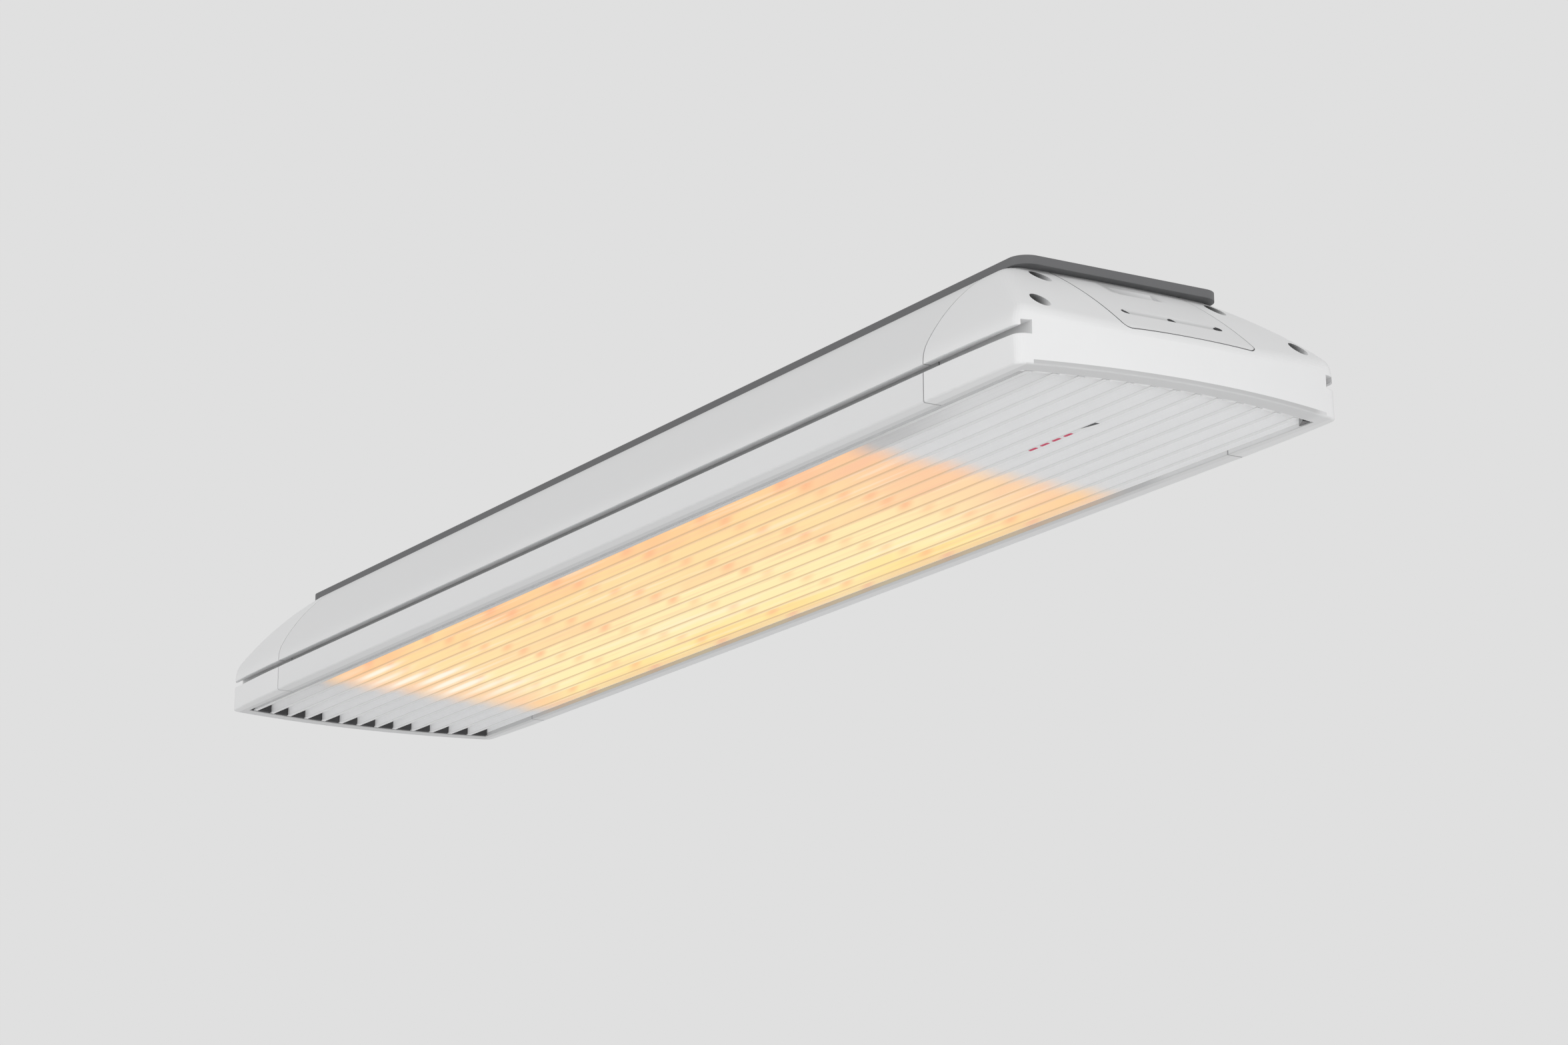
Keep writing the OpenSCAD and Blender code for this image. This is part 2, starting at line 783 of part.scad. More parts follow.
// Dark lens of the receiver in the outer corner of the last fold, in place of a tooth
module receiver_window() {
    y1 = fold_y(folds) - fit;
    x1 = end_cx + sqrt(pow(grille_end_r, 2) - y1 * y1);
    color("black") hang() intersection() {
        along(x1 - receiver_l, x1) polygon(fold_filling(folds - 1));
        linear_extrude(fold_h) polygon([[x1 - receiver_l, y1], [x1, y1], [x1, y1 - receiver_w]]);
    }
}

// Clear guide: four pads through the land, a bar over them and a stem from the board
module light_guide() {
    bar_z = land_z + grille_t + fit;
    color("tomato") hang() translate([0, led_y() - led_w / 2, 0]) {
        led_row() translate([0, 0, land_z - slip]) cube([led_l, led_w, bar_z + guide_bar_h - land_z + slip]);
        translate([led_x - led_l / 2, 0, bar_z])
            cube([led_pitch * (led_count - 1) + led_l, led_w, guide_bar_h]);
        translate([led_x + led_pitch, 0, bar_z]) cube([guide_stem_l, led_w, board_z - bar_z]);
    }
}

// Height of a trough's arc at a distance from its lamp
function trough_arc(y) = crest_z - y * y / (4 * trough_f);

// Lower face of the reflector: side flanges, legs and two troughs
function reflector_line() = concat(
    [[-leg_y - reflector_flange_w, ledge_z], [-leg_y, ledge_z]],
    [for (side = [-1, 1], i = [0:trough_steps])
        if (side < 0 || i > 0)
        let (y = lamp_y * (2 * i / trough_steps - 1))
        [side * lamp_y + y, trough_arc(y)]],
    [[leg_y, ledge_z], [leg_y + reflector_flange_w, ledge_z]]);

module reflector() {
    color("silver") hang() along(reflector_x0, reflector_x1) polygon(strip(reflector_line(), sheet_t));
}

// End of the reflector with a hole for each lamp
module reflector_end(x0) {
    along(x0, x0 + sheet_t) difference() {
        polygon(concat(
            [for (i = [0:trough_steps / 2]) let (y = lamp_y * (1 - 2 * i / trough_steps))
                [-lamp_y - y, trough_arc(y)]],
            [for (i = [trough_steps / 2:-1:0]) let (y = lamp_y * (1 - 2 * i / trough_steps))
                [lamp_y + y, trough_arc(y)]]));
        for (side = [-1, 1]) translate([side * lamp_y, lamp_z]) circle(r = tube_r + lamp_hole_gap);
    }
}

module reflector_end_left() {
    color("silver") hang() reflector_end(reflector_x0 - sheet_t);
}

module reflector_end_right() {
    color("silver") hang() reflector_end(reflector_x1);
}

module insulation_mat() {
    color("ivory") hang() along(reflector_x0 - sheet_t, reflector_x1 + sheet_t)
        translate([-mat_w / 2, mat_z]) square([mat_w, mat_t]);
}

module heat_shield() {
    y = mat_w / 2 + fit;
    color("lightgray") hang() along(reflector_x0 - sheet_t, reflector_x1 + sheet_t)
        polygon(strip([[-y, mat_z + mat_t - shield_drop], [-y, mat_z + mat_t],
            [y, mat_z + mat_t], [y, mat_z + mat_t - shield_drop]], sheet_t));
}

module lamp_tube(side) {
    along(lamp_x0, lamp_x1) translate([side * lamp_y, lamp_z]) difference() {
        circle(r = tube_r);
        circle(r = tube_r - tube_wall);
    }
}

module lamp_tube_front() {
    color("lightcyan") hang() lamp_tube(-1);
}

module lamp_tube_rear() {
    color("lightcyan") hang() lamp_tube(1);
}

// Coil as its outer envelope, with the discs that keep it off the glass
module lamp_filament(side) {
    along(lamp_x0, lamp_x1) translate([side * lamp_y, lamp_z]) circle(r = filament_r);
    for (k = [0:support_count - 1])
        along(support_x(k) - support_disc_t / 2, support_x(k) + support_disc_t / 2)
            translate([side * lamp_y, lamp_z]) circle(r = support_disc_r);
}

function support_x(k) = reflector_x1 - support_first - support_pitch * k;

module lamp_filament_front() {
    color("orange") hang() lamp_filament(-1);
}

module lamp_filament_rear() {
    color("orange") hang() lamp_filament(1);
}

// Ceramic caps with a blind socket for the glass
module lamp_cap(side) {
    along(lamp_x1 - lamp_cap_socket, lamp_x1 - lamp_cap_socket + lamp_cap_l)
        translate([side * lamp_y, lamp_z]) circle(r = lamp_cap_r);
}

module lamp_cap_socket_cut(side) {
    along(lamp_x1 - lamp_cap_socket - overrun, lamp_x1)
        translate([side * lamp_y, lamp_z]) circle(r = tube_r + slip);
}

module lamp_caps_right() {
    for (side = [-1, 1]) difference() {
        lamp_cap(side);
        lamp_cap_socket_cut(side);
    }
}

module lamp_end_caps() {
    color("linen") hang() {
        lamp_caps_right();
        translate([reflector_x0 + reflector_x1, 0, 0]) mirror([1, 0, 0]) lamp_caps_right();
    }
}

// Bracket that carries the ceramic caps, with a foot against the reflector's end
module lamp_bracket() {
    x0 = reflector_x1 + sheet_t;
    along(x0 + bracket_x, x0 + bracket_x + bracket_t) difference() {
        translate([-bracket_w / 2, bracket_z]) square([bracket_w, mat_z - bracket_z]);
        for (side = [-1, 1]) translate([side * lamp_y, lamp_z]) circle(r = lamp_cap_r + slip);
    }
    translate([x0, -bracket_w / 2, bracket_z]) cube([bracket_x + bracket_t, bracket_w, bracket_t]);
}

module lamp_bracket_left() {
    color("silver") hang() translate([reflector_x0 + reflector_x1, 0, 0]) mirror([1, 0, 0]) lamp_bracket();
}

module lamp_bracket_right() {
    color("silver") hang() lamp_bracket();
}

// Swept tube of lead_sides sides along a route
function lead_rings(route) =
    [for (i = [0:len(route) - 1])
        let (
            before = unit(route[max(i, 1)] - route[max(i - 1, 0)]),
            after = unit(route[min(i + 1, len(route) - 1)] - route[min(i, len(route) - 2)]),
            ahead = unit(before + after),
            across = unit(cross(ahead, norm([ahead.x, ahead.z]) > abs(ahead.y) ? [0, 1, 0] : [1, 0, 0])),
            up = cross(ahead, across))
        [for (k = [0:lead_sides - 1])
            let (a = -360 * k / lead_sides)
            route[i] + lead_r * (cos(a) * across + sin(a) * up)]];

// Route of a lead from the control end's caps over the bulkhead to the board
function near_route(side) =
    let (x = lamp_x1 - lamp_cap_socket + lamp_cap_l, y = side * lamp_y, x_end = board_x + lead_entry)
    [[x, y, lamp_z], [x + lead_bend, y, lamp_z], [x + 2 * lead_bend, y, lamp_z + lead_bend],
        [x + 2 * lead_bend, y, lead_top_z - lead_bend], [x + 3 * lead_bend, y, lead_top_z],
        [x_end - lead_bend, y, lead_top_z], [x_end, y, lead_top_z - lead_bend],
        [x_end, y, board_z + board_t]];

// Route of a lead from the far end's caps along the heat shield
function far_route(side) =
    let (x = lamp_x0 + lamp_cap_socket - lamp_cap_l, y = side * lamp_y, y1 = y - side * lead_step,
        x_end = board_x + lead_entry)
    [[x, y, lamp_z], [x - lead_bend, y, lamp_z], [x - 2 * lead_bend, y, lamp_z + lead_bend],
        [x - 2 * lead_bend, y1, lead_top_z - lead_bend], [x - lead_bend, y1, lead_top_z],
        [x_end - lead_bend, y1, lead_top_z], [x_end, y1, lead_top_z - lead_bend],
        [x_end, y1, board_z + board_t]];

module lamp_leads() {
    color("lightyellow") hang() for (side = [-1, 1]) {
        loft(lead_rings(near_route(side)));
        loft(lead_rings(far_route(side)));
    }
}

// Tray across the ledges of the control bay, with an upright bulkhead to the lamps
module control_tray() {
    slot_x = led_x + led_pitch;
    color("lightgray") hang() {
        difference() {
            translate([tray_x, -tray_half_w, ledge_z]) cube([tray_l, 2 * tray_half_w, tray_t]);
            translate([slot_x - fit, led_y() - led_w / 2 - fit, ledge_z - overrun])
                cube([guide_stem_l + 2 * fit, led_w + 2 * fit, tray_t + 2 * overrun]);
        }
        translate([tray_x, -bulkhead_w / 2, ledge_z]) cube([tray_t, bulkhead_w, bulkhead_z - ledge_z]);
    }
}

module control_board() {
    color("seagreen") hang() translate([board_x, -board_w / 2, board_z]) cube([board_l, board_w, board_t]);
}

module board_pillars() {
    color("gold") hang() for (x = [pillar_inset, board_l - pillar_inset], y = [-1, 1])
        translate([board_x + x, y * (board_w / 2 - pillar_inset), ledge_z + tray_t])
            cylinder(r = pillar_r, h = pillar_h);
}

module power_relays() {
    color("black") hang() for (y = relay_y)
        translate([board_x + board_l - relay_size.x - part_gap, y, board_z + board_t]) cube(relay_size);
}

module filter_capacitors() {
    color("midnightblue") hang() for (y = capacitor_y)
        translate([board_x + board_l - capacitor_r - part_gap, y, board_z + board_t])
            cylinder(r = capacitor_r, h = capacitor_h);
}

// Finned sink for the power switches
module heat_sink() {
    pitch = (sink_size.x - sink_fin_t) / (sink_fins - 1);
    color("darkgray") hang()
        translate([board_x + part_gap, -sink_size.y / 2, board_z + board_t]) {
            cube([sink_size.x, sink_base_t, sink_size.z]);
            for (k = [0:sink_fins - 1])
                translate([pitch * k, 0, 0]) cube([sink_fin_t, sink_size.y, sink_size.z]);
        }
}

// Terminal block behind the cover, with a wire entry and a screw at each pole
module terminal_block() {
    pitch = terminal_size.y / terminal_poles;
    x0 = seam_x + part_gap / 2;
    color("ivory") hang() difference() {
        translate([x0, -terminal_size.y / 2, ledge_z + tray_t]) cube(terminal_size);
        for (k = [0:terminal_poles - 1]) {
            y = pitch * (k + 1 / 2) - terminal_size.y / 2;
            translate([x0 - overrun, y, ledge_z + tray_t + terminal_size.z / 3])
                rotate([0, 90, 0]) cylinder(r = terminal_wire_r, h = terminal_size.x + 2 * overrun);
            translate([x0 + terminal_size.x / 2, y, ledge_z + tray_t + terminal_size.z * 2 / 3])
                cylinder(r = terminal_screw_r, h = terminal_size.z);
        }
    }
}

// Plate with round corners, countersunk ceiling holes and a hole for the cable
module mounting_plate() {
    color("dimgray") hang() translate([0, 0, body_h]) difference() {
        linear_extrude(plate_t) {
            square([plate_l - 2 * plate_corner_r, plate_w], center = true);
            square([plate_l, plate_w - 2 * plate_corner_r], center = true);
            for (x = [-1, 1], y = [-1, 1])
                translate([x * (plate_l / 2 - plate_corner_r), y * (plate_w / 2 - plate_corner_r)])
                    circle(r = plate_corner_r);
        }
        for (x = [-1, 1], y = [-1, 1])
            translate([x * ceiling_pitch_x / 2, y * ceiling_pitch_y / 2, 0]) {
                translate([0, 0, -overrun]) cylinder(r = ceiling_hole_r, h = plate_t + 2 * overrun);
                cylinder(r1 = countersink_r, r2 = ceiling_hole_r, h = countersink_depth);
            }
        translate([bush_x, 0, -overrun]) cylinder(r = plate_cable_r, h = plate_t + 2 * overrun);
    }
}

// Studs welded under the plate, with heads inside the roof
module hanging_studs() {
    color("gray") hang() for (x = [-1, 1], y = [-1, 1]) translate([x * stud_x, y * stud_y, 0]) {
        translate([0, 0, body_h - wall_t - fit]) cylinder(r = stud_r, h = wall_t + fit);
        translate([0, 0, stud_head_z]) cylinder(r = stud_head_r, h = stud_head_h);
    }
}

// Rubber bush that lines the cable's way through the roof
module cable_bush() {
    z0 = body_h - wall_t - bush_flange_t;
    z1 = body_h + bush_flange_t;
    color("black") hang() translate([bush_x, 0, 0]) rotate_extrude()
        polygon([[cable_r, z0], [bush_flange_r, z0], [bush_flange_r, body_h - wall_t],
            [bush_r, body_h - wall_t], [bush_r, body_h], [bush_flange_r, body_h],
            [bush_flange_r, z1], [cable_r, z1]]);
}

housing();
end_cap_left();
end_cap_right();
end_gasket_left();
end_gasket_right();
end_cap_screws_left();
end_cap_screws_right();
connection_cover();
cover_screws();
front_grille();
grille_seal_left();
grille_seal_right();
receiver_window();
light_guide();
reflector();
reflector_end_left();
reflector_end_right();
insulation_mat();
heat_shield();
lamp_tube_front();
lamp_tube_rear();
lamp_filament_front();
lamp_filament_rear();
lamp_end_caps();
lamp_bracket_left();
lamp_bracket_right();
lamp_leads();
control_tray();
control_board();
board_pillars();
power_relays();
filter_capacitors();
heat_sink();
terminal_block();
mounting_plate();
hanging_studs();
cable_bush();
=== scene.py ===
"""Looks for a flat radiant heater that hangs under a ceiling, lit and pictured from below.

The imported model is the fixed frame. Each sub-assembly of the heater is a class that dresses its
CAD nodes and builds the finer pieces around them, in metres and in the frame's own axes.
"""

import json
import logging
import math
from dataclasses import dataclass
from enum import Enum
from functools import cache, cached_property, reduce
from typing import Any, Callable, Iterable, Sequence

import bmesh
import bpy
from mathutils import Matrix, Vector

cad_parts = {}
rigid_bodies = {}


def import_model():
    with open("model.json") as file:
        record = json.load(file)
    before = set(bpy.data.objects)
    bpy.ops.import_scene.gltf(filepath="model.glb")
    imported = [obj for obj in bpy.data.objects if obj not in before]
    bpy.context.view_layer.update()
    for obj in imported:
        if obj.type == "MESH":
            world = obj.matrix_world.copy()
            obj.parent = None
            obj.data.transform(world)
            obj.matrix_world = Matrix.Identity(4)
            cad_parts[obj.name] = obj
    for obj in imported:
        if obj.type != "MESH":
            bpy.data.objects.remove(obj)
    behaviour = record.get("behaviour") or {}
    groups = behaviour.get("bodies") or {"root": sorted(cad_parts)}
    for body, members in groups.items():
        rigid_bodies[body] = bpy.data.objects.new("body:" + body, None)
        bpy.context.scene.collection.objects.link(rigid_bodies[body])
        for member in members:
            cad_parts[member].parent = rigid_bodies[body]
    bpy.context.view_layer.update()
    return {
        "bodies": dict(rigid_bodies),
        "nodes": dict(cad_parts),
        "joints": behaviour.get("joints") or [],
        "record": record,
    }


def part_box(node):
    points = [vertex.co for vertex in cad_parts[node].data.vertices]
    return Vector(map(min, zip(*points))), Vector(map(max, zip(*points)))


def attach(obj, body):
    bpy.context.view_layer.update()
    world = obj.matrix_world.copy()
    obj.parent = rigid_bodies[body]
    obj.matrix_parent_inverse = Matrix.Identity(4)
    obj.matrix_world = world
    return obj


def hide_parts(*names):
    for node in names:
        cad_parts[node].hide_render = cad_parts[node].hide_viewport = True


log = logging.getLogger("heater")

BODY = "root"
MM = 0.001
SHARP_EDGE = math.radians(35)
PEEL_SCALE = 620.0
EDGE_SAMPLES = 4
BLACK = (0.0, 0.0, 0.0)
WHITE = (1.0, 1.0, 1.0)
COAT_WHITE = (0.80, 0.802, 0.805)

Colour = tuple[float, float, float]
Value = Any  # a field, a number, a place or a colour
Inputs = dict[str | int, Value]
Span = tuple[float, float]
Turn = tuple[float, float, float, float]  # low, high, start and end of Graph.step
Ring = list[Vector]
Profile = Sequence[Span]  # radius and height of each point


class Sum(Enum):
    """Operations of a Math node that the finishes use."""

    ADD = "ADD"
    SUBTRACT = "SUBTRACT"
    MULTIPLY = "MULTIPLY"
    DIVIDE = "DIVIDE"
    MODULO = "FLOORED_MODULO"
    ABSOLUTE = "ABSOLUTE"
    FLOOR = "FLOOR"
    LARGER = "MAXIMUM"
    SMALLER = "MINIMUM"
    SINE = "SINE"


def operator(how: Sum) -> Callable[..., "Field"]:
    """Makes an operator of a field out of an operation of a Math node."""
    return lambda field, other=0.0: field.graph.sum(how, field, other)


class Field:
    """A node's output, which varies over a surface and takes the operators of a number."""

    def __init__(self, graph: "Graph", socket: bpy.types.NodeSocket) -> None:
        """Wraps an output of one of the graph's nodes."""
        self.graph, self.socket = graph, socket

    __add__, __sub__, __mul__ = operator(Sum.ADD), operator(Sum.SUBTRACT), operator(Sum.MULTIPLY)
    __truediv__, __mod__ = operator(Sum.DIVIDE), operator(Sum.MODULO)
    __abs__, __floor__ = operator(Sum.ABSOLUTE), operator(Sum.FLOOR)

    def mixed(self, other: "Field", share: float) -> "Field":
        """Mixes a share of another pattern in."""
        return self * (1.0 - share) + other * share


class Graph:
    """The node tree of a material or a world, with short calls for what the finishes share."""

    def __init__(self, tree: bpy.types.NodeTree) -> None:
        """Wraps a node tree."""
        self.tree = tree

    def add(self, kind: str, inputs: Inputs | None = None, out: str | int = 0,
            **settings: Value) -> Field:
        """Adds a node.

        Args:
            kind: Blender's name of the node type, after ShaderNode.
            inputs: What its inputs get, by name or number.
            out: Name or number of the output that is used.
            settings: Properties of the node.

        Returns:
            The node's output.
        """
        node = self.tree.nodes.new(f"ShaderNode{kind}")
        for name, value in settings.items():
            setattr(node, name, value)
        self.feed(node, inputs or {})
        return Field(self, node.outputs[out])

    def feed(self, node: bpy.types.Node, inputs: Inputs) -> None:
        """Links the inputs of a node to fields, or sets their own values.

        Args:
            node: The node.
            inputs: What its inputs get, by name or number.
        """
        for name, value in inputs.items():
            socket = node.inputs[name]
            if isinstance(value, Field):
                self.tree.links.new(value.socket, socket)
            else:
                socket.default_value = (*value, 1.0) if socket.type == "RGBA" else value

    def sum(self, how: Sum, a: Value, b: Value = 0.0) -> Field:
        """Combines two numbers in a Math node."""
        return self.add("Math", {0: a, 1: b}, operation=how.value)

    def larger(self, *values: Value) -> Field:
        """Returns the largest of some numbers."""
        return reduce(lambda a, b: self.sum(Sum.LARGER, a, b), values)

    def step(self, value: Value, low: float, high: float, start: float = 0.0,
             end: float = 1.0) -> Field:
        """Turns softly from start, where a value is below low, to end, where it is over high."""
        limits = {"From Min": low, "From Max": high, "To Min": start, "To Max": end}
        return self.add("MapRange", {"Value": value} | limits, interpolation_type="SMOOTHSTEP")

    def fall(self, value: Value, low: float, high: float, start: float = 1.0) -> Field:
        """Falls softly from start to 0 between two limits."""
        return self.step(value, low, high, start, 0.0)

    def above(self, value: Value, limit: float, soft: float) -> Field:
        """Is 1 above a limit and 0 below it, over a soft width to either side."""
        return self.step(value, limit - soft, limit + soft)

    def below(self, value: Value, limit: float, soft: float, start: float = 1.0) -> Field:
        """Is start below a limit and 0 above it, over a soft width to either side."""
        return self.fall(value, limit - soft, limit + soft, start)

    def inside(self, value: Value, low: float, high: float, soft: float) -> Field:
        """Is 1 between two limits and 0 outside them, over a soft width to either side."""
        return self.above(value, low, soft) * self.below(value, high, soft)

    def bell(self, value: Field, width: float) -> Field:
        """Is 1 where a value is 0, and fades to 0 at a width to either side."""
        return self.fall(abs(value), 0.0, width)

    def blend(self, share: Value, a: Value, b: Value) -> Field:
        """Mixes a share of colour b into colour a."""
        return self.add("Mix", {0: share, 6: a, 7: b}, 2, data_type="RGBA")

    def ramp(self, value: Value, stops: Sequence[tuple[float, Colour]]) -> Field:
        """Runs through a row of colours.

        Args:
            value: The number that is followed.
            stops: Numbers with the colour at each, in rising order.

        Returns:
            The colour.
        """
        low, high = stops[0][0], stops[-1][0]
        share = self.add("MapRange", {"Value": value, "From Min": low, "From Max": high})
        colour = self.add("ValToRGB", {0: share})
        elements = colour.socket.node.color_ramp.elements
        while len(elements) < len(stops):
            elements.new(0.5)
        for element, (at, tone) in zip(elements, stops):
            element.position = (at - low) / (high - low)
            element.color = (*tone, 1.0)
        return colour

    @cached_property
    def place(self) -> Field:
        """Place on the heater, in metres of the frame."""
        return self.add("TexCoord", out="Object")

    def axes(self, vector: Field) -> list[Field]:
        """Splits a vector into its three numbers."""
        split = self.add("SeparateXYZ", {0: vector}).socket.node
        return [Field(self, output) for output in split.outputs]

    def dot(self, a: Value, b: Value) -> Field:
        """Returns the dot product of two vectors."""
        return self.add("VectorMath", {0: a, 1: b}, "Value", operation="DOT_PRODUCT")

    def length(self, vector: Field) -> Field:
        """Returns the length of a vector."""
        return self.add("VectorMath", {0: vector}, "Value", operation="LENGTH")

    def distance(self, a: Field, b: Field) -> Field:
        """Returns the distance that two numbers make at a right angle."""
        return self.length(self.add("CombineXYZ", {0: a, 1: b}))

    def stretched(self, scale: Colour) -> Field:
        """The place scaled along each axis, so that a pattern is drawn out along one of them."""
        return self.add("VectorMath", {0: self.place, 1: scale}, operation="MULTIPLY")

    def noise(self, scale: float, detail: float = 2.0, place: Field | None = None) -> Field:
        """Cloudy pattern around one half, with its patches per metre and its finer layers."""
        inputs = {"Vector": place or self.place, "Scale": scale, "Detail": detail}
        return self.add("TexNoise", inputs)

    def lines(self, scale: Colour) -> Field:
        """Cloudy pattern with its patches per metre along each axis."""
        return self.noise(1.0, 3.0, self.stretched(scale))

    def cells(self, scale: float, out: str) -> Field:
        """Distance or colour of a pattern of cells."""
        return self.add("TexVoronoi", {"Vector": self.place, "Scale": scale}, out)

    def dice(self, number: Field) -> Field:
        """A steady random number from 0 to 1 for each whole number."""
        return self.add("TexWhiteNoise", {"W": number}, noise_dimensions="1D")


def halfway(values: Iterable[float]) -> float:
    """Returns the middle between the smallest and the largest of some values."""
    values = list(values)
    return (min(values) + max(values)) / 2


class Shade:
    """Places of the heater where shade is painted into the colour."""

    def share(self, g: Graph) -> Field:
        """Builds a mask of the painted shade.

        Args:
            g: The material's graph.

        Returns:
            The share of the painted shade's colour, from 0 to 1.
        """
        raise NotImplementedError


@dataclass(frozen=True)
class Recesses(Shade):
    """Painted shade in the hook channels and screw wells, and on the flat rim with its inner line
    and the edge beside it.

    Heights are counted from the front rim. The painted shade of the inner line and the edge is
    weaker at the back of the control end.
    """

    rim_z: float
    wells: tuple[Colour, ...]
    soft: float = 0.04 * MM
    channel_y: float = 90.25 * MM
    channel_share: float = 0.04
    lip_y: float = 95.6 * MM
    slot_low: float = 15.45 * MM
    slot_high: float = 19.95 * MM
    hook_high: float = 22.55 * MM
    well_r: float = 4.72 * MM
    well_fade: float = 22.0 * MM
    rim_high: float = 1.4 * MM
    rim_share: float = 0.26
    line_y: float = 93.4 * MM
    line_soft: float = 0.5 * MM
    line_share: float = 0.14
    edge_y: float = 89.8 * MM
    edge_high: float = 2.6 * MM
    edge_share: float = 0.40
    weak_shade_x: Turn = (310.0 * MM, 340.0 * MM, 0.0, 0.6)
    weak_shade_y: Span = (80.0 * MM, 88.0 * MM)

    @classmethod
    def found(cls, screws: bpy.types.Object, cap: bpy.types.Object, rim_z: float) -> "Recesses":
        """Finds the wells from the screws that stand in them.

        Args:
            screws: The CAD node of the end cap's screws.
            cap: The CAD node of the end cap.
            rim_z: Height of the front rim.

        Returns:
            The recesses.
        """
        corners = [v.co for v in screws.data.vertices if v.co.y > 0]
        level = halfway(v.z for v in corners)
        wells = []
        for group in ([v for v in corners if v.z > level], [v for v in corners if v.z < level]):
            y, z = halfway(v.y for v in group), halfway(v.z for v in group)
            mouth = max(v.co.x for v in cap.data.vertices
                        if math.hypot(v.co.y - y, v.co.z - z) < cls.well_r)
            wells.append((y, z - rim_z, mouth))
        return cls(rim_z, tuple(wells))

    def share(self, g: Graph) -> Field:
        """See Shade.share."""
        x, y, z = g.axes(g.place)
        side, up = abs(y), z - self.rim_z
        # Painted shade: darker colour in the hook channels, on the rim's flat underside, its inner
        # line and the edge beside it, and down the screw wells.
        mouth = (g.inside(up, self.slot_low, self.slot_high, self.soft)
                 * g.above(side, self.channel_y, self.soft))
        hook = (g.inside(up, self.slot_low, self.hook_high, self.soft)
                * g.inside(side, self.channel_y, self.lip_y, self.soft))
        # Less painted shade on the inner line and the edge at the back of the control end.
        pale = g.step(x, *self.weak_shade_x) * g.step(y, *self.weak_shade_y)
        dark = g.sum(Sum.SUBTRACT, 1.0, pale)
        line = g.below(side, self.line_y, self.line_soft, self.line_share) * dark
        rim = (line + self.rim_share) * g.fall(up, 0.0, self.rim_high)
        edge = (g.below(side, self.edge_y, self.soft, self.edge_share)
                * g.below(up, self.edge_high, self.soft) * dark)
        mask = g.larger(mouth, hook) * self.channel_share + g.larger(rim, edge)
        for well_y, well_z, mouth_x in self.wells:
            deep = g.fall(abs(x), mouth_x - self.well_fade, mouth_x)
            reach = g.distance(side - well_y, up - well_z)
            mask = g.larger(mask, g.below(reach, self.well_r, self.soft) * deep)
        return mask


@dataclass(frozen=True)
class ScrewHoles(Shade):
    """Painted shade in the holes over the cover's screws, the groove between them, the scoop and
    along the cover's edge.

    Places are counted from the middle screw, across the heater and down the cover's slope.
    """

    middle: Colour
    axis: Colour
    pitch: float
    screw_l: float
    head_r: float = 2.1 * MM
    play: float = 0.35 * MM
    soft: float = 0.05 * MM
    groove_w: float = 5.0 * MM
    groove_end: float = 2.0 * MM
    groove_share: float = 0.26
    scoop_run: Span = (-49.0 * MM, -32.5 * MM)
    scoop_soft: float = 2.5 * MM
    scoop_half: float = 17.0 * MM
    scoop_end: float = 2.0 * MM
    scoop_share: Span = (0.38, 0.1)
    edge_facing: Span = (0.1, 0.5)
    edge_beside: Span = (20.0 * MM, 21.0 * MM)
    edge_below: Span = (-5.0 * MM, -4.0 * MM)
    slope: float = 0.3
    flat: float = 0.01
    top_t: float = 0.01 * MM

    @classmethod
    def found(cls, screws: bpy.types.Object) -> "ScrewHoles":
        """Finds the row of holes from the screws that stand in it.

        Args:
            screws: The CAD node of the cover's screws.

        Returns:
            The holes.
        """
        axis = next(f.normal.copy() for f in screws.data.polygons
                    if min(f.normal.x, f.normal.z) > cls.slope and abs(f.normal.y) < cls.flat)
        heights = [v.co.dot(axis) for v in screws.data.vertices]
        highest = max(heights)
        rim = [v.co for v in screws.data.vertices if v.co.dot(axis) > highest - cls.top_t]
        middle = sum(rim, Vector()) / len(rim)
        reach = (max(v.y for v in rim) - min(v.y for v in rim)) / 2
        return cls(tuple(middle), tuple(axis), reach - cls.head_r, highest - min(heights))

    def share(self, g: Graph) -> Field:
        """See Shade.share."""
        off = g.add("VectorMath", {0: g.place, 1: self.middle}, operation="SUBTRACT")
        run = g.dot(off, (self.axis[2], 0.0, -self.axis[0]))
        y = g.axes(off)[1]
        groove = g.bell(run, self.groove_w) * g.inside(y, -self.pitch, self.pitch, self.groove_end)
        scoop = (g.inside(run, *self.scoop_run, self.scoop_soft)
                 * g.inside(y, -self.scoop_half, self.scoop_half, self.scoop_end)
                 * g.step(y, -self.scoop_half, self.scoop_half, *self.scoop_share))
        # Painted shade in the groove, the scoop and each screw hole.
        mask = g.larger(groove * self.groove_share, scoop)
        for k in (-1, 0, 1):
            reach = g.distance(run, y - k * self.pitch)
            mask = g.larger(mask, g.below(reach, self.head_r + self.play, self.soft))
        # Painted shade on the cover's edge walls, which darkens the gap around it; left off the
        # scoop's end walls.
        facing = g.dot(g.add("NewGeometry", out="True Normal"), self.axis)
        edge = g.fall(abs(facing), *self.edge_facing)
        round_scoop = g.larger(g.step(abs(y), *self.edge_beside), g.step(run, *self.edge_below))
        return g.larger(mask, edge * round_scoop)


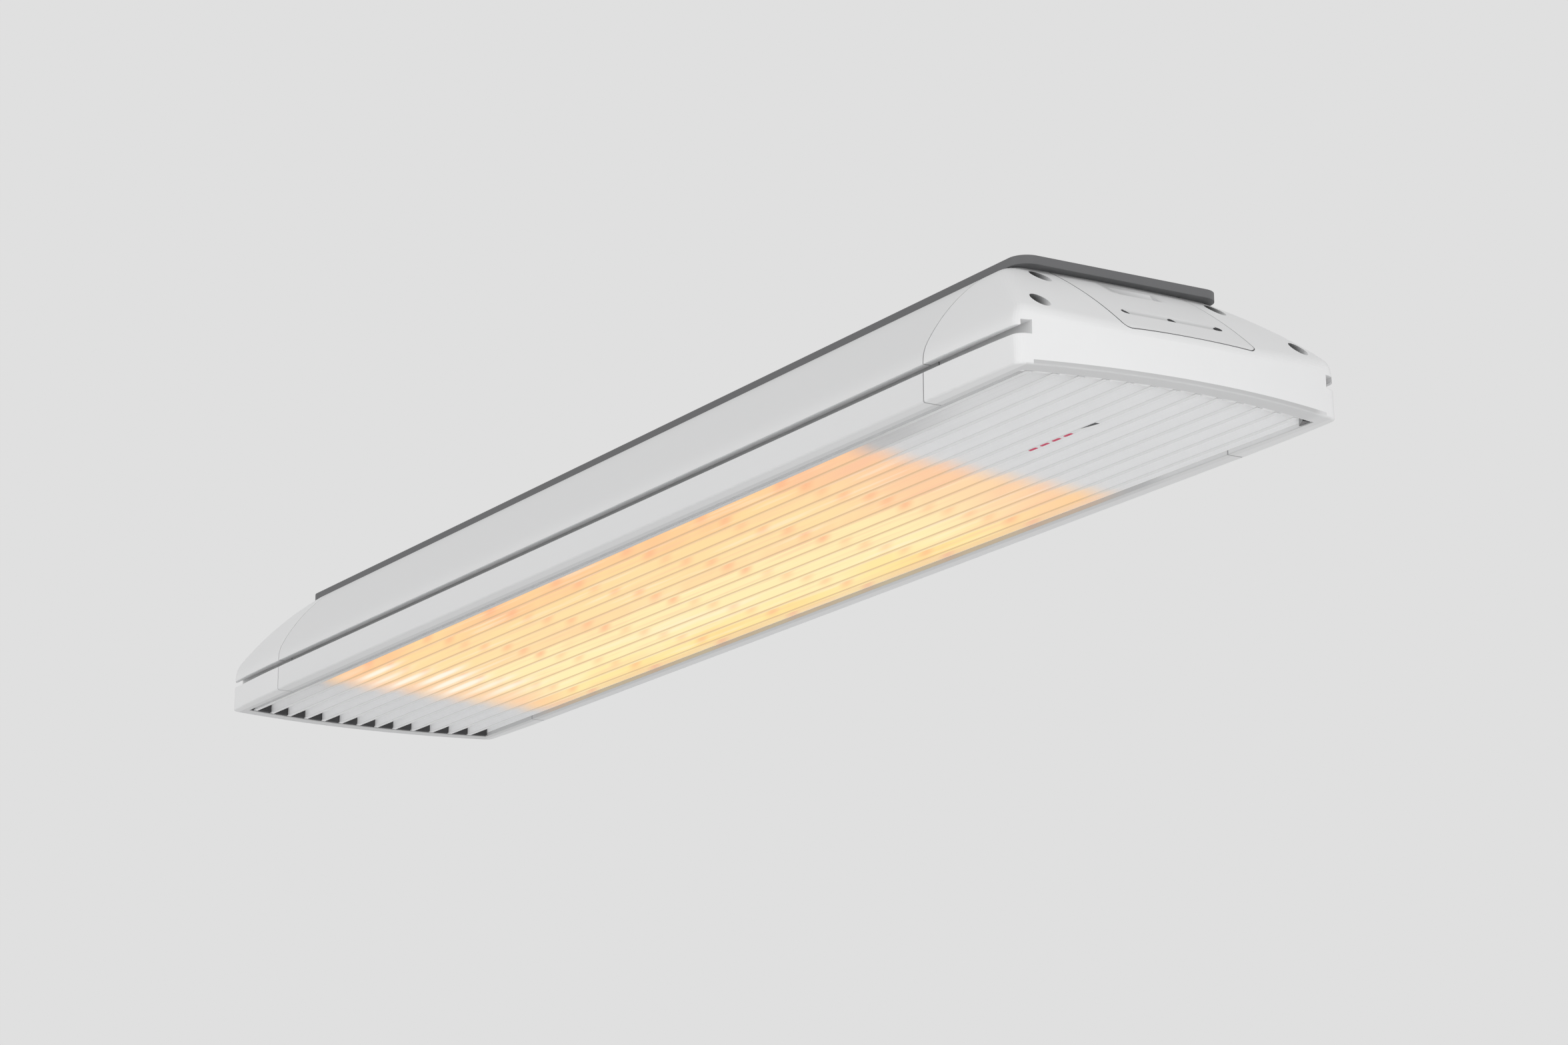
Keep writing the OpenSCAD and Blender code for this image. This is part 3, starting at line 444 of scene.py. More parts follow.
@dataclass(frozen=True)
class Finish:
    """A surface finish. Each kind draws its own patterns.

    Mottle spreads its colour and wear its roughness along them. Mix is the share of the second
    where two patterns are mixed, and rub_span the part of a pattern that the roughness follows.
    Depth is the height of its relief, and edge_r the radius at which its sharp edges catch the
    light. Its colour turns to shade_colour where shade is painted in.
    """

    name: str
    colour: Colour
    roughness: float = 0.5
    mottle: float = 0.02
    wear: float = 0.05
    mix: float = 0.5
    rub_span: Span = (0.2, 0.8)
    depth: float = 0.02 * MM
    edge_r: float = 0.0
    gloss: float = 0.5
    metallic: float = 0.0
    shade: Shade | None = None
    shade_colour: Colour = BLACK

    @cache
    def make(self) -> bpy.types.Material:
        """Builds the finish as a material.

        Returns:
            The material, built once for each finish.
        """
        material = bpy.data.materials.new(self.name)
        material.use_nodes = True
        material.diffuse_color = (*self.colour, 1.0)
        g = Graph(material.node_tree)
        g.feed(material.node_tree.nodes["Principled BSDF"], self.fill(g))
        return material

    def fill(self, g: Graph) -> Inputs:
        """Draws the finish's patterns.

        Args:
            g: The material's graph.

        Returns:
            What the surface shader's inputs get.
        """
        raise NotImplementedError

    def surface(self, g: Graph, tone: Field, rub: Field, height: Field) -> Inputs:
        """Follows three patterns with the colour, the roughness and the relief.

        Args:
            g: The material's graph.
            tone: Pattern of the colour.
            rub: Pattern of the roughness.
            height: Pattern of the relief.

        Returns:
            What the surface shader's inputs get.
        """
        colour = self.tint(g, tone)
        # Painted shade: the colour turns to shade_colour under the shade's mask.
        if self.shade:
            colour = g.blend(self.shade.share(g), colour, self.shade_colour)
        relief: Inputs = {"Height": height, "Distance": self.depth, "Strength": 1.0}
        if self.edge_r:
            relief["Normal"] = g.add("Bevel", {"Radius": self.edge_r}, samples=EDGE_SAMPLES)
        return {"Base Color": colour, "Roughness": self.polish(g, rub),
                "Normal": g.add("Bump", relief), "Specular IOR Level": self.gloss,
                "Metallic": self.metallic}

    def tint(self, g: Graph, pattern: Field) -> Field:
        """The colour, a little darker and lighter along a pattern."""
        dark, light = (tuple(min(1.0, c * (1.0 + spread)) for c in self.colour)
                       for spread in (-self.mottle, self.mottle))
        return g.blend(pattern, dark, light)

    def polish(self, g: Graph, pattern: Field) -> Field:
        """The roughness, a little lower and higher along a pattern."""
        return g.step(pattern, *self.rub_span, self.roughness - self.wear,
                      self.roughness + self.wear)


@dataclass(frozen=True)
class PowderCoat(Finish):
    """Baked powder paint on metal: a faint orange peel over the drawn lines of the metal."""

    mix: float = 0.3
    depth: float = 0.007 * MM
    edge_r: float = 0.5 * MM
    gloss: float = 0.42
    shade_colour: Colour = (0.12, 0.122, 0.126)
    drawn: Colour = (3.0, 900.0, 900.0)
    drawn_share: float = 0.25
    cloud: float = 9.0

    def fill(self, g: Graph) -> Inputs:
        """See Finish.fill."""
        peel = g.noise(PEEL_SCALE, detail=3.0)
        drawn = g.lines(self.drawn)
        cloud = g.noise(self.cloud, detail=4.0)
        height = peel.mixed(drawn, self.drawn_share)
        return self.surface(g, cloud.mixed(drawn, self.mix), cloud, height)


@dataclass(frozen=True)
class Moulded(Finish):
    """Moulded plastic or cast metal with a fine eroded grain."""

    wear: float = 0.06
    mix: float = 0.2
    edge_r: float = 0.4 * MM
    gloss: float = 0.45
    shade_colour: Colour = (0.10, 0.102, 0.105)
    grain: float = 1500.0
    pit_share: float = 0.4
    flow: float = 14.0
    flow_stretch: Colour = (1.0, 2.0, 2.0)

    def fill(self, g: Graph) -> Inputs:
        """See Finish.fill."""
        grain = g.noise(self.grain)
        pits = g.cells(self.grain / 2, "Distance")
        flow = g.noise(self.flow, 4.0, g.stretched(self.flow_stretch))
        return self.surface(g, flow.mixed(grain, self.mix), flow, grain + pits * self.pit_share)


@dataclass(frozen=True)
class Rubber(Finish):
    """Matt rubber with a dusty bloom."""

    mottle: float = 0.25
    wear: float = 0.08
    edge_r: float = 0.15 * MM
    gloss: float = 0.25
    dust: float = 120.0
    skin: float = 2200.0

    def fill(self, g: Graph) -> Inputs:
        """See Finish.fill."""
        dust = g.noise(self.dust, detail=5.0)
        return self.surface(g, dust, dust, g.noise(self.skin))


@dataclass(frozen=True)
class Metal(Finish):
    """Bare metal with brushed lines along one axis and handling marks."""

    mottle: float = 0.08
    wear: float = 0.08
    depth: float = 0.01 * MM
    edge_r: float = 0.2 * MM
    metallic: float = 1.0
    brush: Colour = (4.0, 1400.0, 1400.0)
    marks: float = 70.0

    def fill(self, g: Graph) -> Inputs:
        """See Finish.fill."""
        lines = g.lines(self.brush)
        marks = g.noise(self.marks, detail=5.0)
        return self.surface(g, lines.mixed(marks, self.mix), marks, lines)


@dataclass(frozen=True)
class Galvanised(Finish):
    """Zinc-coated sheet with its crystal spangle."""

    mottle: float = 0.14
    wear: float = 0.12
    mix: float = 0.4
    depth: float = 0.01 * MM
    edge_r: float = 0.2 * MM
    metallic: float = 1.0
    spangle: float = 130.0
    haze: float = 400.0

    def fill(self, g: Graph) -> Inputs:
        """See Finish.fill."""
        tone = g.axes(g.cells(self.spangle, "Color"))[0]
        haze = g.noise(self.haze, detail=4.0)
        return self.surface(g, tone, tone.mixed(haze, self.mix), haze)


@dataclass(frozen=True)
class FibreMat(Finish):
    """Felted ceramic fibre."""

    mottle: float = 0.12
    wear: float = 0.03
    depth: float = 0.3 * MM
    strands: float = 700.0
    strand_stretch: Colour = (1.0, 3.0, 1.0)
    tufts: float = 60.0
    sheen: float = 0.3

    def fill(self, g: Graph) -> Inputs:
        """See Finish.fill."""
        strands = g.noise(self.strands, 6.0, g.stretched(self.strand_stretch))
        tufts = g.noise(self.tufts, detail=5.0)
        inputs = self.surface(g, strands.mixed(tufts, self.mix), tufts, strands + tufts)
        return inputs | {"Sheen Weight": self.sheen}


@dataclass(frozen=True)
class Quartz(Finish):
    """Clear drawn quartz glass."""

    rub_span: Span = (0.3, 0.7)
    drawn: Colour = (6.0, 300.0, 300.0)
    refraction: float = 1.458

    def fill(self, g: Graph) -> Inputs:
        """See Finish.fill."""
        drawn = g.lines(self.drawn)
        inputs = self.surface(g, drawn, drawn, drawn)
        return inputs | {"Transmission Weight": 1.0, "IOR": self.refraction}

    def polish(self, g: Graph, pattern: Field) -> Field:
        """The roughness, a little higher along a pattern and never lower."""
        return g.step(pattern, *self.rub_span, self.roughness, self.roughness + self.wear)


@dataclass(frozen=True)
class Lit(Finish):
    """Something that shines by itself, brighter and darker in patches."""

    mottle: float = 0.1
    shine: Colour = (1.0, 0.3, 0.1)
    dimming: float = 0.2
    patch: float = 60.0

    def fill(self, g: Graph) -> Inputs:
        """See Finish.fill."""
        patches = g.noise(self.patch, detail=3.0)
        dim = tuple(c * (1.0 - self.dimming) for c in self.shine)
        shine = {"Emission Color": g.blend(patches, dim, self.shine), "Emission Strength": 1.0}
        return self.surface(g, patches, patches, patches) | shine


@dataclass(frozen=True)
class Braid(Finish):
    """Braided glass-fibre sleeve."""

    mottle: float = 0.15
    wear: float = 0.06
    depth: float = 0.15 * MM
    plait: float = 1.1 * MM
    fuzz: float = 300.0

    def fill(self, g: Graph) -> Inputs:
        """See Finish.fill."""
        x, y, z = g.axes(g.place)
        turn = 2 * math.pi / self.plait
        over = g.sum(Sum.SINE, (x + (y + z)) * turn)
        under = g.sum(Sum.SINE, (x - (y + z)) * turn)
        weave = g.larger(over, under) * 0.5 + 0.5
        return self.surface(g, weave, g.noise(self.fuzz), weave)


@dataclass(frozen=True)
class CircuitBoard(Finish):
    """Green solder mask over copper tracks."""

    mottle: float = 0.1
    wear: float = 0.06
    depth: float = 0.04 * MM
    track: Colour = (0.06, 0.25, 0.09)
    track_w: float = 0.3 * MM
    track_pitch: float = 2.54 * MM
    pitches_per_run: int = 7
    cloud: float = 50.0

    def fill(self, g: Graph) -> Inputs:
        """See Finish.fill."""
        lanes = g.add("TexBrick", {
            "Vector": g.place, "Scale": 1.0, "Mortar Size": self.track_w,
            "Brick Width": self.pitches_per_run * self.track_pitch,
            "Row Height": self.track_pitch, "Color1": WHITE, "Color2": WHITE, "Mortar": BLACK,
        }, "Fac")
        cloud = g.noise(self.cloud, detail=3.0)
        inputs = self.surface(g, cloud, cloud, lanes)
        return inputs | {"Base Color": g.blend(lanes, inputs["Base Color"], self.track)}


@dataclass(frozen=True)
class FoldPlace:
    """Where a place lies on the folded sheet, with two random numbers for its fold."""

    x: Field
    y: Field
    up: Field
    land: Field
    luck: Field
    other_luck: Field


@dataclass(frozen=True)
class PaintedGlowSheet(Finish):
    """White folded sheet with a painted glow: emission that stands in for the light of the lamps
    showing through over their length.

    The painted glow fades out softly at both ends, turns from peach to straw across the heater,
    and is broken by a row of dull spots, one in each fold, at every support disc of the filaments.
    """

    mottle: float = 0.03
    mix: float = 0.3
    depth: float = 0.012 * MM
    edge_r: float = 0.2 * MM
    gloss: float = 0.2
    drawn: Colour = (3.0, 700.0, 700.0)
    # Near-black colour of the painted shade on the sheet, and of its base colour under the painted
    # glow.
    painted_dark: Colour = (0.035, 0.022, 0.014)

    rim_z: float = 0.0
    first_y: float = -86.5 * MM
    pitch: float = 13.515 * MM
    wall_t: float = 0.3 * MM
    land_up: Span = (0.45 * MM, 0.1 * MM)
    land_shade: float = 0.80
    dusk_y: Turn = (-90.0 * MM, -52.0 * MM, 0.25, 0.0)
    dusk_x: Turn = (310.0 * MM, 400.0 * MM, 1.0, 0.25)
    dusk_gap: float = 0.1 * MM
    other_dice: float = 31.0

    far_x: float = -352.0 * MM
    far_soft: float = 20.0 * MM
    near_x: float = 292.0 * MM
    near_soft: float = 17.0 * MM
    slant: float = 2.6
    skew: float = 0.06
    ragged: float = 5.0 * MM
    lit_y: Span = (-78.0 * MM, 89.2 * MM)
    lit_soft: float = 0.3 * MM

    across: tuple[tuple[float, Colour], ...] = (
        (-88.0 * MM, (0.95, 0.52, 0.28)), (-60.0 * MM, (0.97, 0.68, 0.34)),
        (-25.0 * MM, (0.97, 0.72, 0.38)), (-5.0 * MM, (0.97, 0.68, 0.37)),
        (12.0 * MM, (0.98, 0.79, 0.43)), (52.0 * MM, (0.98, 0.83, 0.46)),
        (74.0 * MM, (0.98, 0.76, 0.34)), (88.0 * MM, (0.97, 0.66, 0.28)))
    cloud: float = 12.0
    cloud_stretch: Colour = (1.0, 2.2, 1.0)
    cloud_shift: float = 60.0 * MM
    fold_shift: float = 12.0 * MM

    peach: Colour = (0.91, 0.54, 0.36)
    peach_l: float = 60.0 * MM
    near_peach: float = 0.9
    far_peach: float = 0.8
    cloud_peach: Turn = (-0.25, 0.2, 1.0, 0.6)
    flare: Colour = (1.0, 0.88, 0.74)
    streak: Colour = (9.0, 300.0, 420.0)
    streak_peach: Turn = (0.52, 0.72, 0.0, 0.35)
    streak_flare: Turn = (0.30, 0.46, 0.30, 0.0)

    ember: Colour = (0.90, 0.43, 0.25)
    ember_spread: float = 0.4
    ember_least: float = 0.3
    support_x: float = 208.0 * MM
    support_pitch: float = 85.3 * MM
    support_count: int = 7
    spot_l: float = 12.0 * MM
    spot_scatter: float = 7.0 * MM
    spot_soft: float = 1.0 * MM
    spot_up: Turn = (0.5 * MM, 4.06 * MM, 0.25, 1.0)

    tongue_x: float = 33.0 * MM
    tongue_skew: float = 0.15
    tongue_l: float = 52.0 * MM
    tongue_scatter: float = 24.0 * MM
    tongue_up: float = 3.19 * MM
    tongue_h: float = 2.61 * MM
    tongue_y: Span = (-66.0 * MM, 46.0 * MM)
    tongue_soft: float = 14.0 * MM
    tongue_share: Turn = (0.1, 0.6, 0.8, 1.4)

    line: Colour = (0.56, 0.38, 0.20)
    line_w: float = 1.5 * MM
    line_soft: float = 0.5 * MM
    line_share: Span = (0.7, 0.22)
    line_start: float = 0.4 * MM

    def fill(self, g: Graph) -> Inputs:
        """See Finish.fill."""
        at = self.locate(g)
        ragged = at.x + (at.up * self.slant + at.y * self.skew) + at.luck * self.ragged
        lit = (g.above(ragged, self.far_x, self.far_soft)
               * g.below(ragged, self.near_x, self.near_soft)
               * g.inside(at.y, *self.lit_y, self.lit_soft))
        peel = g.noise(PEEL_SCALE, detail=3.0)
        drawn = g.lines(self.drawn)
        inputs = self.surface(g, drawn, peel, peel.mixed(drawn, self.mix))
        # Painted shade: the flat lands at the bottom of the folds take a darker copy of the white.
        dull = tuple(c * self.land_shade for c in self.colour)
        white = g.blend(at.land, inputs["Base Color"], dull)
        # Painted shade over the first folds beside the front edge, weaker towards the ends.
        white = g.blend(self.dusk(g, at), white, self.painted_dark)
        return inputs | {
            # Under the painted glow the base colour turns near black, so that the painted glow
            # alone shows there.
            "Base Color": g.blend(lit, white, self.painted_dark),
            # Painted glow: emission that stands in for the lamps' light showing through the sheet.
            "Emission Color": g.blend(lit, BLACK, self.glow(g, at)),
            "Emission Strength": 1.0,
        }

    def locate(self, g: Graph) -> FoldPlace:
        """Finds where a place on the heater lies on the sheet.

        Args:
            g: The material's graph.

        Returns:
            The place on the sheet.
        """
        x, y, z = g.axes(g.place)
        fold = math.floor((y - (self.first_y + self.wall_t)) / self.pitch)
        up = z - self.rim_z
        land = g.below(up, *self.land_up)
        return FoldPlace(x, y, up, land, g.dice(fold) - 0.5, g.dice(fold + self.other_dice))

    def dusk(self, g: Graph, at: FoldPlace) -> Field:
        """Painted shade of the first folds, which is weaker towards the ends."""
        start = g.above(at.y, self.first_y + self.dusk_gap, self.dusk_gap / 2)
        return g.step(at.y, *self.dusk_y) * start * g.step(abs(at.x), *self.dusk_x)

    def glow(self, g: Graph, at: FoldPlace) -> Field:
        """Colour of the painted glow, which stands in for the light that comes through.

        Args:
            g: The material's graph.
            at: Place on the sheet.

        Returns:
            The colour.
        """
        cloud = g.noise(self.cloud, 3.0, g.stretched(self.cloud_stretch)) - 0.5
        streak = g.lines(self.streak)
        ends = (g.step(at.x, self.support_x - self.peach_l, self.near_x, 0.0, self.near_peach)
                + g.fall(at.x, self.far_x, self.far_x + self.peach_l, self.far_peach))
        ember = at.other_luck * self.ember_spread + self.ember_least
        local = (at.y - (self.first_y - self.line_start)) % self.pitch
        line = g.step(local, self.line_w, self.line_w + self.line_soft, *self.line_share)
        colour = g.ramp(at.y + cloud * self.cloud_shift + at.luck * self.fold_shift, self.across)
        for share, tone in (
            (ends * g.step(cloud, *self.cloud_peach), self.peach),
            (g.step(streak, *self.streak_peach), self.peach),
            (g.step(streak, *self.streak_flare), self.flare),
            (self.spots(g, at) * ember, self.ember),
            (g.sum(Sum.SMALLER, self.tongues(g, at), 1.0), self.flare),
            (at.land * line, self.line),
        ):
            colour = g.blend(share, colour, tone)
        return colour

    def spots(self, g: Graph, at: FoldPlace) -> Field:
        """Finds the dull spots painted into the glow, which lie high in each fold.

        Args:
            g: The material's graph.
            at: Place on the sheet.

        Returns:
            The strength of the spots, 1 in their middle and 0 around them.
        """
        half = self.support_pitch / 2
        shifted = at.x - (self.support_x - half) + at.luck * self.spot_scatter
        first = self.support_x - (self.support_count - 0.5) * self.support_pitch
        return (g.bell(shifted % self.support_pitch - half, self.spot_l)
                * g.inside(at.x, first, self.support_x + half / 2, self.spot_soft)
                * g.step(at.up, *self.spot_up))

    def tongues(self, g: Graph, at: FoldPlace) -> Field:
        """Finds the painted highlights, pale tongues of light at the far end, one in each fold and
        brighter in some.

        Args:
            g: The material's graph.
            at: Place on the sheet.

        Returns:
            The strength of the tongues.
        """
        along = at.x - (at.y * self.tongue_skew + (self.far_x + self.tongue_x))
        tongue = (g.bell(along + at.luck * self.tongue_scatter, self.tongue_l)
                  * g.bell(at.up - self.tongue_up, self.tongue_h))
        return tongue * (g.inside(at.y, *self.tongue_y, self.tongue_soft)
                         * g.step(at.other_luck, *self.tongue_share))


def around(count: int, shift: float = 0.0) -> list[float]:
    """Returns the angles of a number of points round a circle."""
    return [2 * math.pi * (k + shift) / count for k in range(count)]


def place_object(name: str, data: bpy.types.ID) -> bpy.types.Object:
    """Puts an object into the scene.

    Args:
        name: Its name.
        data: Its mesh, lamp or camera.

    Returns:
        The object.
    """
    thing = bpy.data.objects.new(name, data)
    bpy.context.scene.collection.objects.link(thing)
    return thing


class Mesh:
    """A mesh in the making, from rings of points and from turned profiles."""

    def __init__(self, name: str) -> None:
        """Starts an empty mesh for a piece with a name."""
        self.name, self.bm = name, bmesh.new()

    def skin(self, rings: Sequence[Ring]) -> None:
        """Joins a row of closed rings with faces, and closes both ends.

        Args:
            rings: Rings with the same number of points.
        """
        loops = [[self.bm.verts.new(p) for p in ring] for ring in rings]
        for a, b in zip(loops, loops[1:]):
            for i in range(len(a)):
                j = (i + 1) % len(a)
                self.bm.faces.new((a[i], a[j], b[j], b[i]))
        self.bm.faces.new(list(reversed(loops[0])))
        self.bm.faces.new(loops[-1])

    def turned(self, profile: Profile, sides: int, seat: Matrix) -> None:
        """Turns a profile about the axis of its seat."""
        self.skin([[seat @ Vector((r * math.cos(a), r * math.sin(a), h)) for a in around(sides)]
                   for r, h in profile])

    def tube(self, route: Sequence[Vector], radius: float, sides: int) -> None:
        """Draws a round tube along a route.

        Args:
            route: Points on its middle line.
            radius: Radius of the tube.
            sides: Number of sides.
        """
        rings: list[Ring] = []
        across = Vector((0.0, 1.0, 0.0))
        for i, point in enumerate(route):
            ahead = (route[min(i + 1, len(route) - 1)] - route[max(i - 1, 0)]).normalized()
            across = (across - ahead * across.dot(ahead)).normalized()
            up = ahead.cross(across)
            rings.append([point + radius * (math.cos(a) * across + math.sin(a) * up)
                          for a in around(sides)])
        self.skin(rings)

    def piece(self, finish: Finish, slot: str, replaces: Sequence[str] = (),
              smooth: bool = True) -> bpy.types.Object:
        """Turns the mesh into a piece that rides on the heater.

        Args:
            finish: What it is dressed in.
            slot: The record's material slot; not used.
            replaces: CAD nodes that it stands for.
            smooth: Whether its faces are shaded smooth.

        Returns:
            The piece.
        """
        bmesh.ops.recalc_face_normals(self.bm, faces=self.bm.faces)
        data = bpy.data.meshes.new(self.name)
        self.bm.to_mesh(data)
        self.bm.free()
        data.polygons.foreach_set("use_smooth", [smooth] * len(data.polygons))
        data.materials.append(finish.make())
        piece = place_object(self.name, data)
        if smooth:
            data.set_sharp_from_angle(angle=SHARP_EDGE)
        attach(piece, BODY)
        if replaces:
            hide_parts(*replaces)
        log.info("%s: %d faces", self.name, len(data.polygons))
        return piece


@dataclass
class SubAssembly:
    """One sub-assembly of the heater. It knows the frame's CAD nodes."""

    frame: dict[str, Any]

    def build(self) -> None:
        """Dresses its nodes and builds the finer pieces around them."""
        raise NotImplementedError

    def dress(self, finish: Finish, *nodes: str) -> None:
        """Gives CAD nodes a finish.

        Args:
            finish: The finish.
            nodes: Names of the nodes.
        """
        for name in nodes:
            for slot in self.frame["nodes"][name].material_slots:
                slot.material = finish.make()
            log.info("%s: %s", name, finish.name)


@dataclass
class Shell(SubAssembly):
    """Housing, end caps, the gaskets at their seams and the screws in their wells."""

    recesses: Recesses
    cap: Colour = (0.835, 0.837, 0.84)

    def build(self) -> None:
        """See SubAssembly.build."""
        # The housing's and the caps' coats carry the painted shade of the recesses.
        self.dress(PowderCoat("housing_coat", COAT_WHITE, 0.46, edge_r=0.3 * MM,
                              shade=self.recesses), "housing")
        self.dress(Moulded("cap_coat", self.cap, 0.48, shade=self.recesses),
                   "end_cap_left", "end_cap_right")
        self.dress(Rubber("seam_rubber", (0.30, 0.30, 0.305), 0.8),
                   "end_gasket_left", "end_gasket_right")
        self.dress(Metal("well_screw_steel", (0.30, 0.30, 0.31), 0.38),
                   "end_cap_screws_left", "end_cap_screws_right")


@dataclass
class CoverScrews:
    """The three socket screws of the connection cover, with domed heads and rolled threads.

    The outlines of head and socket are shares of their radius and of their height or depth.
    """

    holes: ScrewHoles
    head_h: float = 1.5 * MM
    core_r: float = 0.88 * MM
    thread_r: float = 1.08 * MM
    thread_pitch: float = 0.5 * MM
    tip_l: float = 0.5 * MM
    tip_share: float = 0.4
    socket_r: float = 1.1 * MM
    socket_depth: float = 0.9 * MM
    sides: int = 24
    head: Profile = ((0.95, -1.0), (1.0, -0.9), (1.0, -0.45), (0.94, -0.2), (0.82, -0.04),
                     (0.68, 0.0))
    socket: Profile = ((1.08, 0.0), (1.0, -0.12), (1.0, -1.0), (0.2, -1.15))

    def build(self, steel: Finish) -> None:
        """Builds the screws as one piece.

        Args:
            steel: Their finish.
        """
        mesh = Mesh("cover_socket_screws")
        turn = Vector(self.holes.axis).to_track_quat("Z", "Y").to_matrix().to_4x4()
        for k in (-1, 0, 1):
            top = Vector(self.holes.middle) + Vector((0.0, k * self.holes.pitch, 0.0))
            seat = Matrix.Translation(top) @ turn
            mesh.skin([self.ring(seat, r, h) for r, h in self.thread()]
                      + [self.ring(seat, r * self.holes.head_r, h * self.head_h)
                         for r, h in self.head]
                      + [self.ring(seat, r * self.socket_r, h * self.socket_depth, True)
                         for r, h in self.socket])
        mesh.piece(steel, "screw_dark", ["cover_screws"])

    def thread(self) -> Profile:
        """Draws the outline of the tip and the thread, with the head's top at zero.

        Returns:
            Radius and height of each point.
        """
        start = self.tip_l - self.holes.screw_l
        points = [(self.core_r * self.tip_share, -self.holes.screw_l), (self.core_r, start)]
        for k in range(int((self.holes.screw_l - self.head_h - self.tip_l) / self.thread_pitch)):
            low = start + k * self.thread_pitch
            points += [(self.thread_r, low + self.thread_pitch / 2),
                       (self.core_r, low + self.thread_pitch)]
        return points + [(self.core_r, -self.head_h)]

    def ring(self, seat: Matrix, r: float, h: float, hexagon: bool = False) -> Ring:
        """Outline of a screw at one height.

        Args:
            seat: Where the head's top stands.
            r: Radius.
            h: Height.
            hexagon: Whether the outline has six flats.

        Returns:
            The outline's points.
        """
        sixth = math.pi / 3
        points = []
        for a in around(self.sides):
            reach = r * math.cos(sixth / 2) / math.cos(a % sixth - sixth / 2) if hexagon else r
            points.append(seat @ Vector((reach * math.cos(a), reach * math.sin(a), h)))
        return points


@dataclass
class Connection(SubAssembly):
    """Cover over the terminals with its three screws, the terminal block and the cable's bush."""

    def build(self) -> None:
        """See SubAssembly.build."""
        holes = ScrewHoles.found(self.frame["nodes"]["cover_screws"])
        # The cover's coat carries the painted shade of its holes, groove, scoop and edge.
        self.dress(Moulded("cover_coat", COAT_WHITE, 0.46, shade=holes), "connection_cover")
        CoverScrews(holes).build(Metal("cover_screw_steel", (0.045, 0.045, 0.048), 0.42))
        self.dress(Moulded("terminal_plastic", (0.74, 0.70, 0.58), 0.5, grain=900.0),
                   "terminal_block")
        self.dress(Rubber("bush_matt_rubber", (0.03, 0.03, 0.032), 0.75), "cable_bush")


@dataclass
class FrontGrille(SubAssembly):
    """Folded front sheet with a painted glow, its seals, the lights in one land and the receiver's
    window.

    The wedge's edge is a row of drops below the land and of shares drawn in to its middle.
    """

    rim_z: float
    white: Colour = (0.86, 0.862, 0.866)
    land_z: float = 0.2 * MM
    lens_count: int = 4
    lens_pitch: float = 10.35 * MM
    lens_l: float = 6.7 * MM
    lens_w: float = 2.1 * MM
    lens_crown: float = 0.14 * MM
    crown_steps: int = 4
    bar_sides: int = 24
    wedge_x: float = 387.8 * MM
    wedge_l: float = 12.5 * MM
    wedge_w: float = 2.8 * MM
    wedge_edge: Profile = ((0.0, 0.0), (0.06 * MM, 0.0), (0.08 * MM, 0.03), (0.085 * MM, 0.1))

    def build(self) -> None:
        """See SubAssembly.build."""
        red = Lit("lens_red", (0.14, 0.01, 0.03), 0.4, shine=(0.36, 0.02, 0.06), gloss=0.1,
                  patch=300.0)
        ink = Moulded("wedge_ink", (0.07, 0.072, 0.075), 0.7, gloss=0.15)
        # The grille sheet carries the painted glow and painted shade.
        self.dress(PaintedGlowSheet("grille_sheet", self.white, rim_z=self.rim_z), "front_grille")
        self.dress(Rubber("seal_black", (0.05, 0.05, 0.052), 0.8), "grille_seal_left")
        # The control end's seal is painted pale grey, painted light that lifts it out of the shade
        # at the end of the folds; the far end's seal stays near black.
        self.dress(Rubber("seal_painted_pale", (0.70, 0.70, 0.705), 0.8), "grille_seal_right")
        self.dress(Moulded("receiver_lens", (0.012, 0.010, 0.012), 0.12, depth=0.001 * MM,
                           gloss=0.5), "receiver_window")
        self.dress(red, "light_guide")
        self.lenses(red)
        self.wedge(ink)

    def lenses(self, red: Finish) -> None:
        """Builds a crowned lens over each pad of the light guide.

        Args:
            red: Their finish.
        """
        low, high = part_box("light_guide")
        for k in range(self.lens_count):
            rings = []
            for step in range(self.crown_steps + 1):
                turn = step / self.crown_steps * math.pi / 2
                inset = (1 - math.cos(turn)) * self.lens_w / 3
                drop = math.sin(turn) * self.lens_crown
                rings.append(self.bar(low.x + self.lens_l / 2 + k * self.lens_pitch,
                                      halfway((low.y, high.y)),
                                      self.rim_z + self.land_z - drop, self.lens_w / 2 - inset))
            mesh = Mesh(f"light_lens_{k + 1}")
            mesh.skin(rings)
            mesh.piece(red, "light_red")

    def bar(self, x: float, y: float, z: float, r: float) -> Ring:
        """Outline of a bar around a place, with round ends of a radius."""
        reach = self.lens_l / 2 - self.lens_w / 2
        return [Vector((x + math.copysign(reach, math.cos(a)) + r * math.cos(a),
                        y + r * math.sin(a), z)) for a in around(self.bar_sides, 0.5)]

    def wedge(self, ink: Finish) -> None:
        """Builds the plain grey wedge beside the lights.

        Args:
            ink: Its finish.
        """
        low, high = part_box("light_guide")
        middle_y = halfway((low.y, high.y))
        start = Vector((self.wedge_x, middle_y - self.wedge_w / 2, self.rim_z + self.land_z))
        outline = [Vector(), Vector((self.wedge_l, 0.0, 0.0)),
                   Vector((self.wedge_l, self.wedge_w, 0.0))]
        middle = sum(outline, Vector()) / len(outline)
        mesh = Mesh("dimmer_wedge")
        mesh.skin([[start - Vector((0.0, 0.0, drop)) + point.lerp(middle, inset)
                    for point in outline] for drop, inset in self.wedge_edge])
        mesh.piece(ink, "plate_grey", smooth=False)


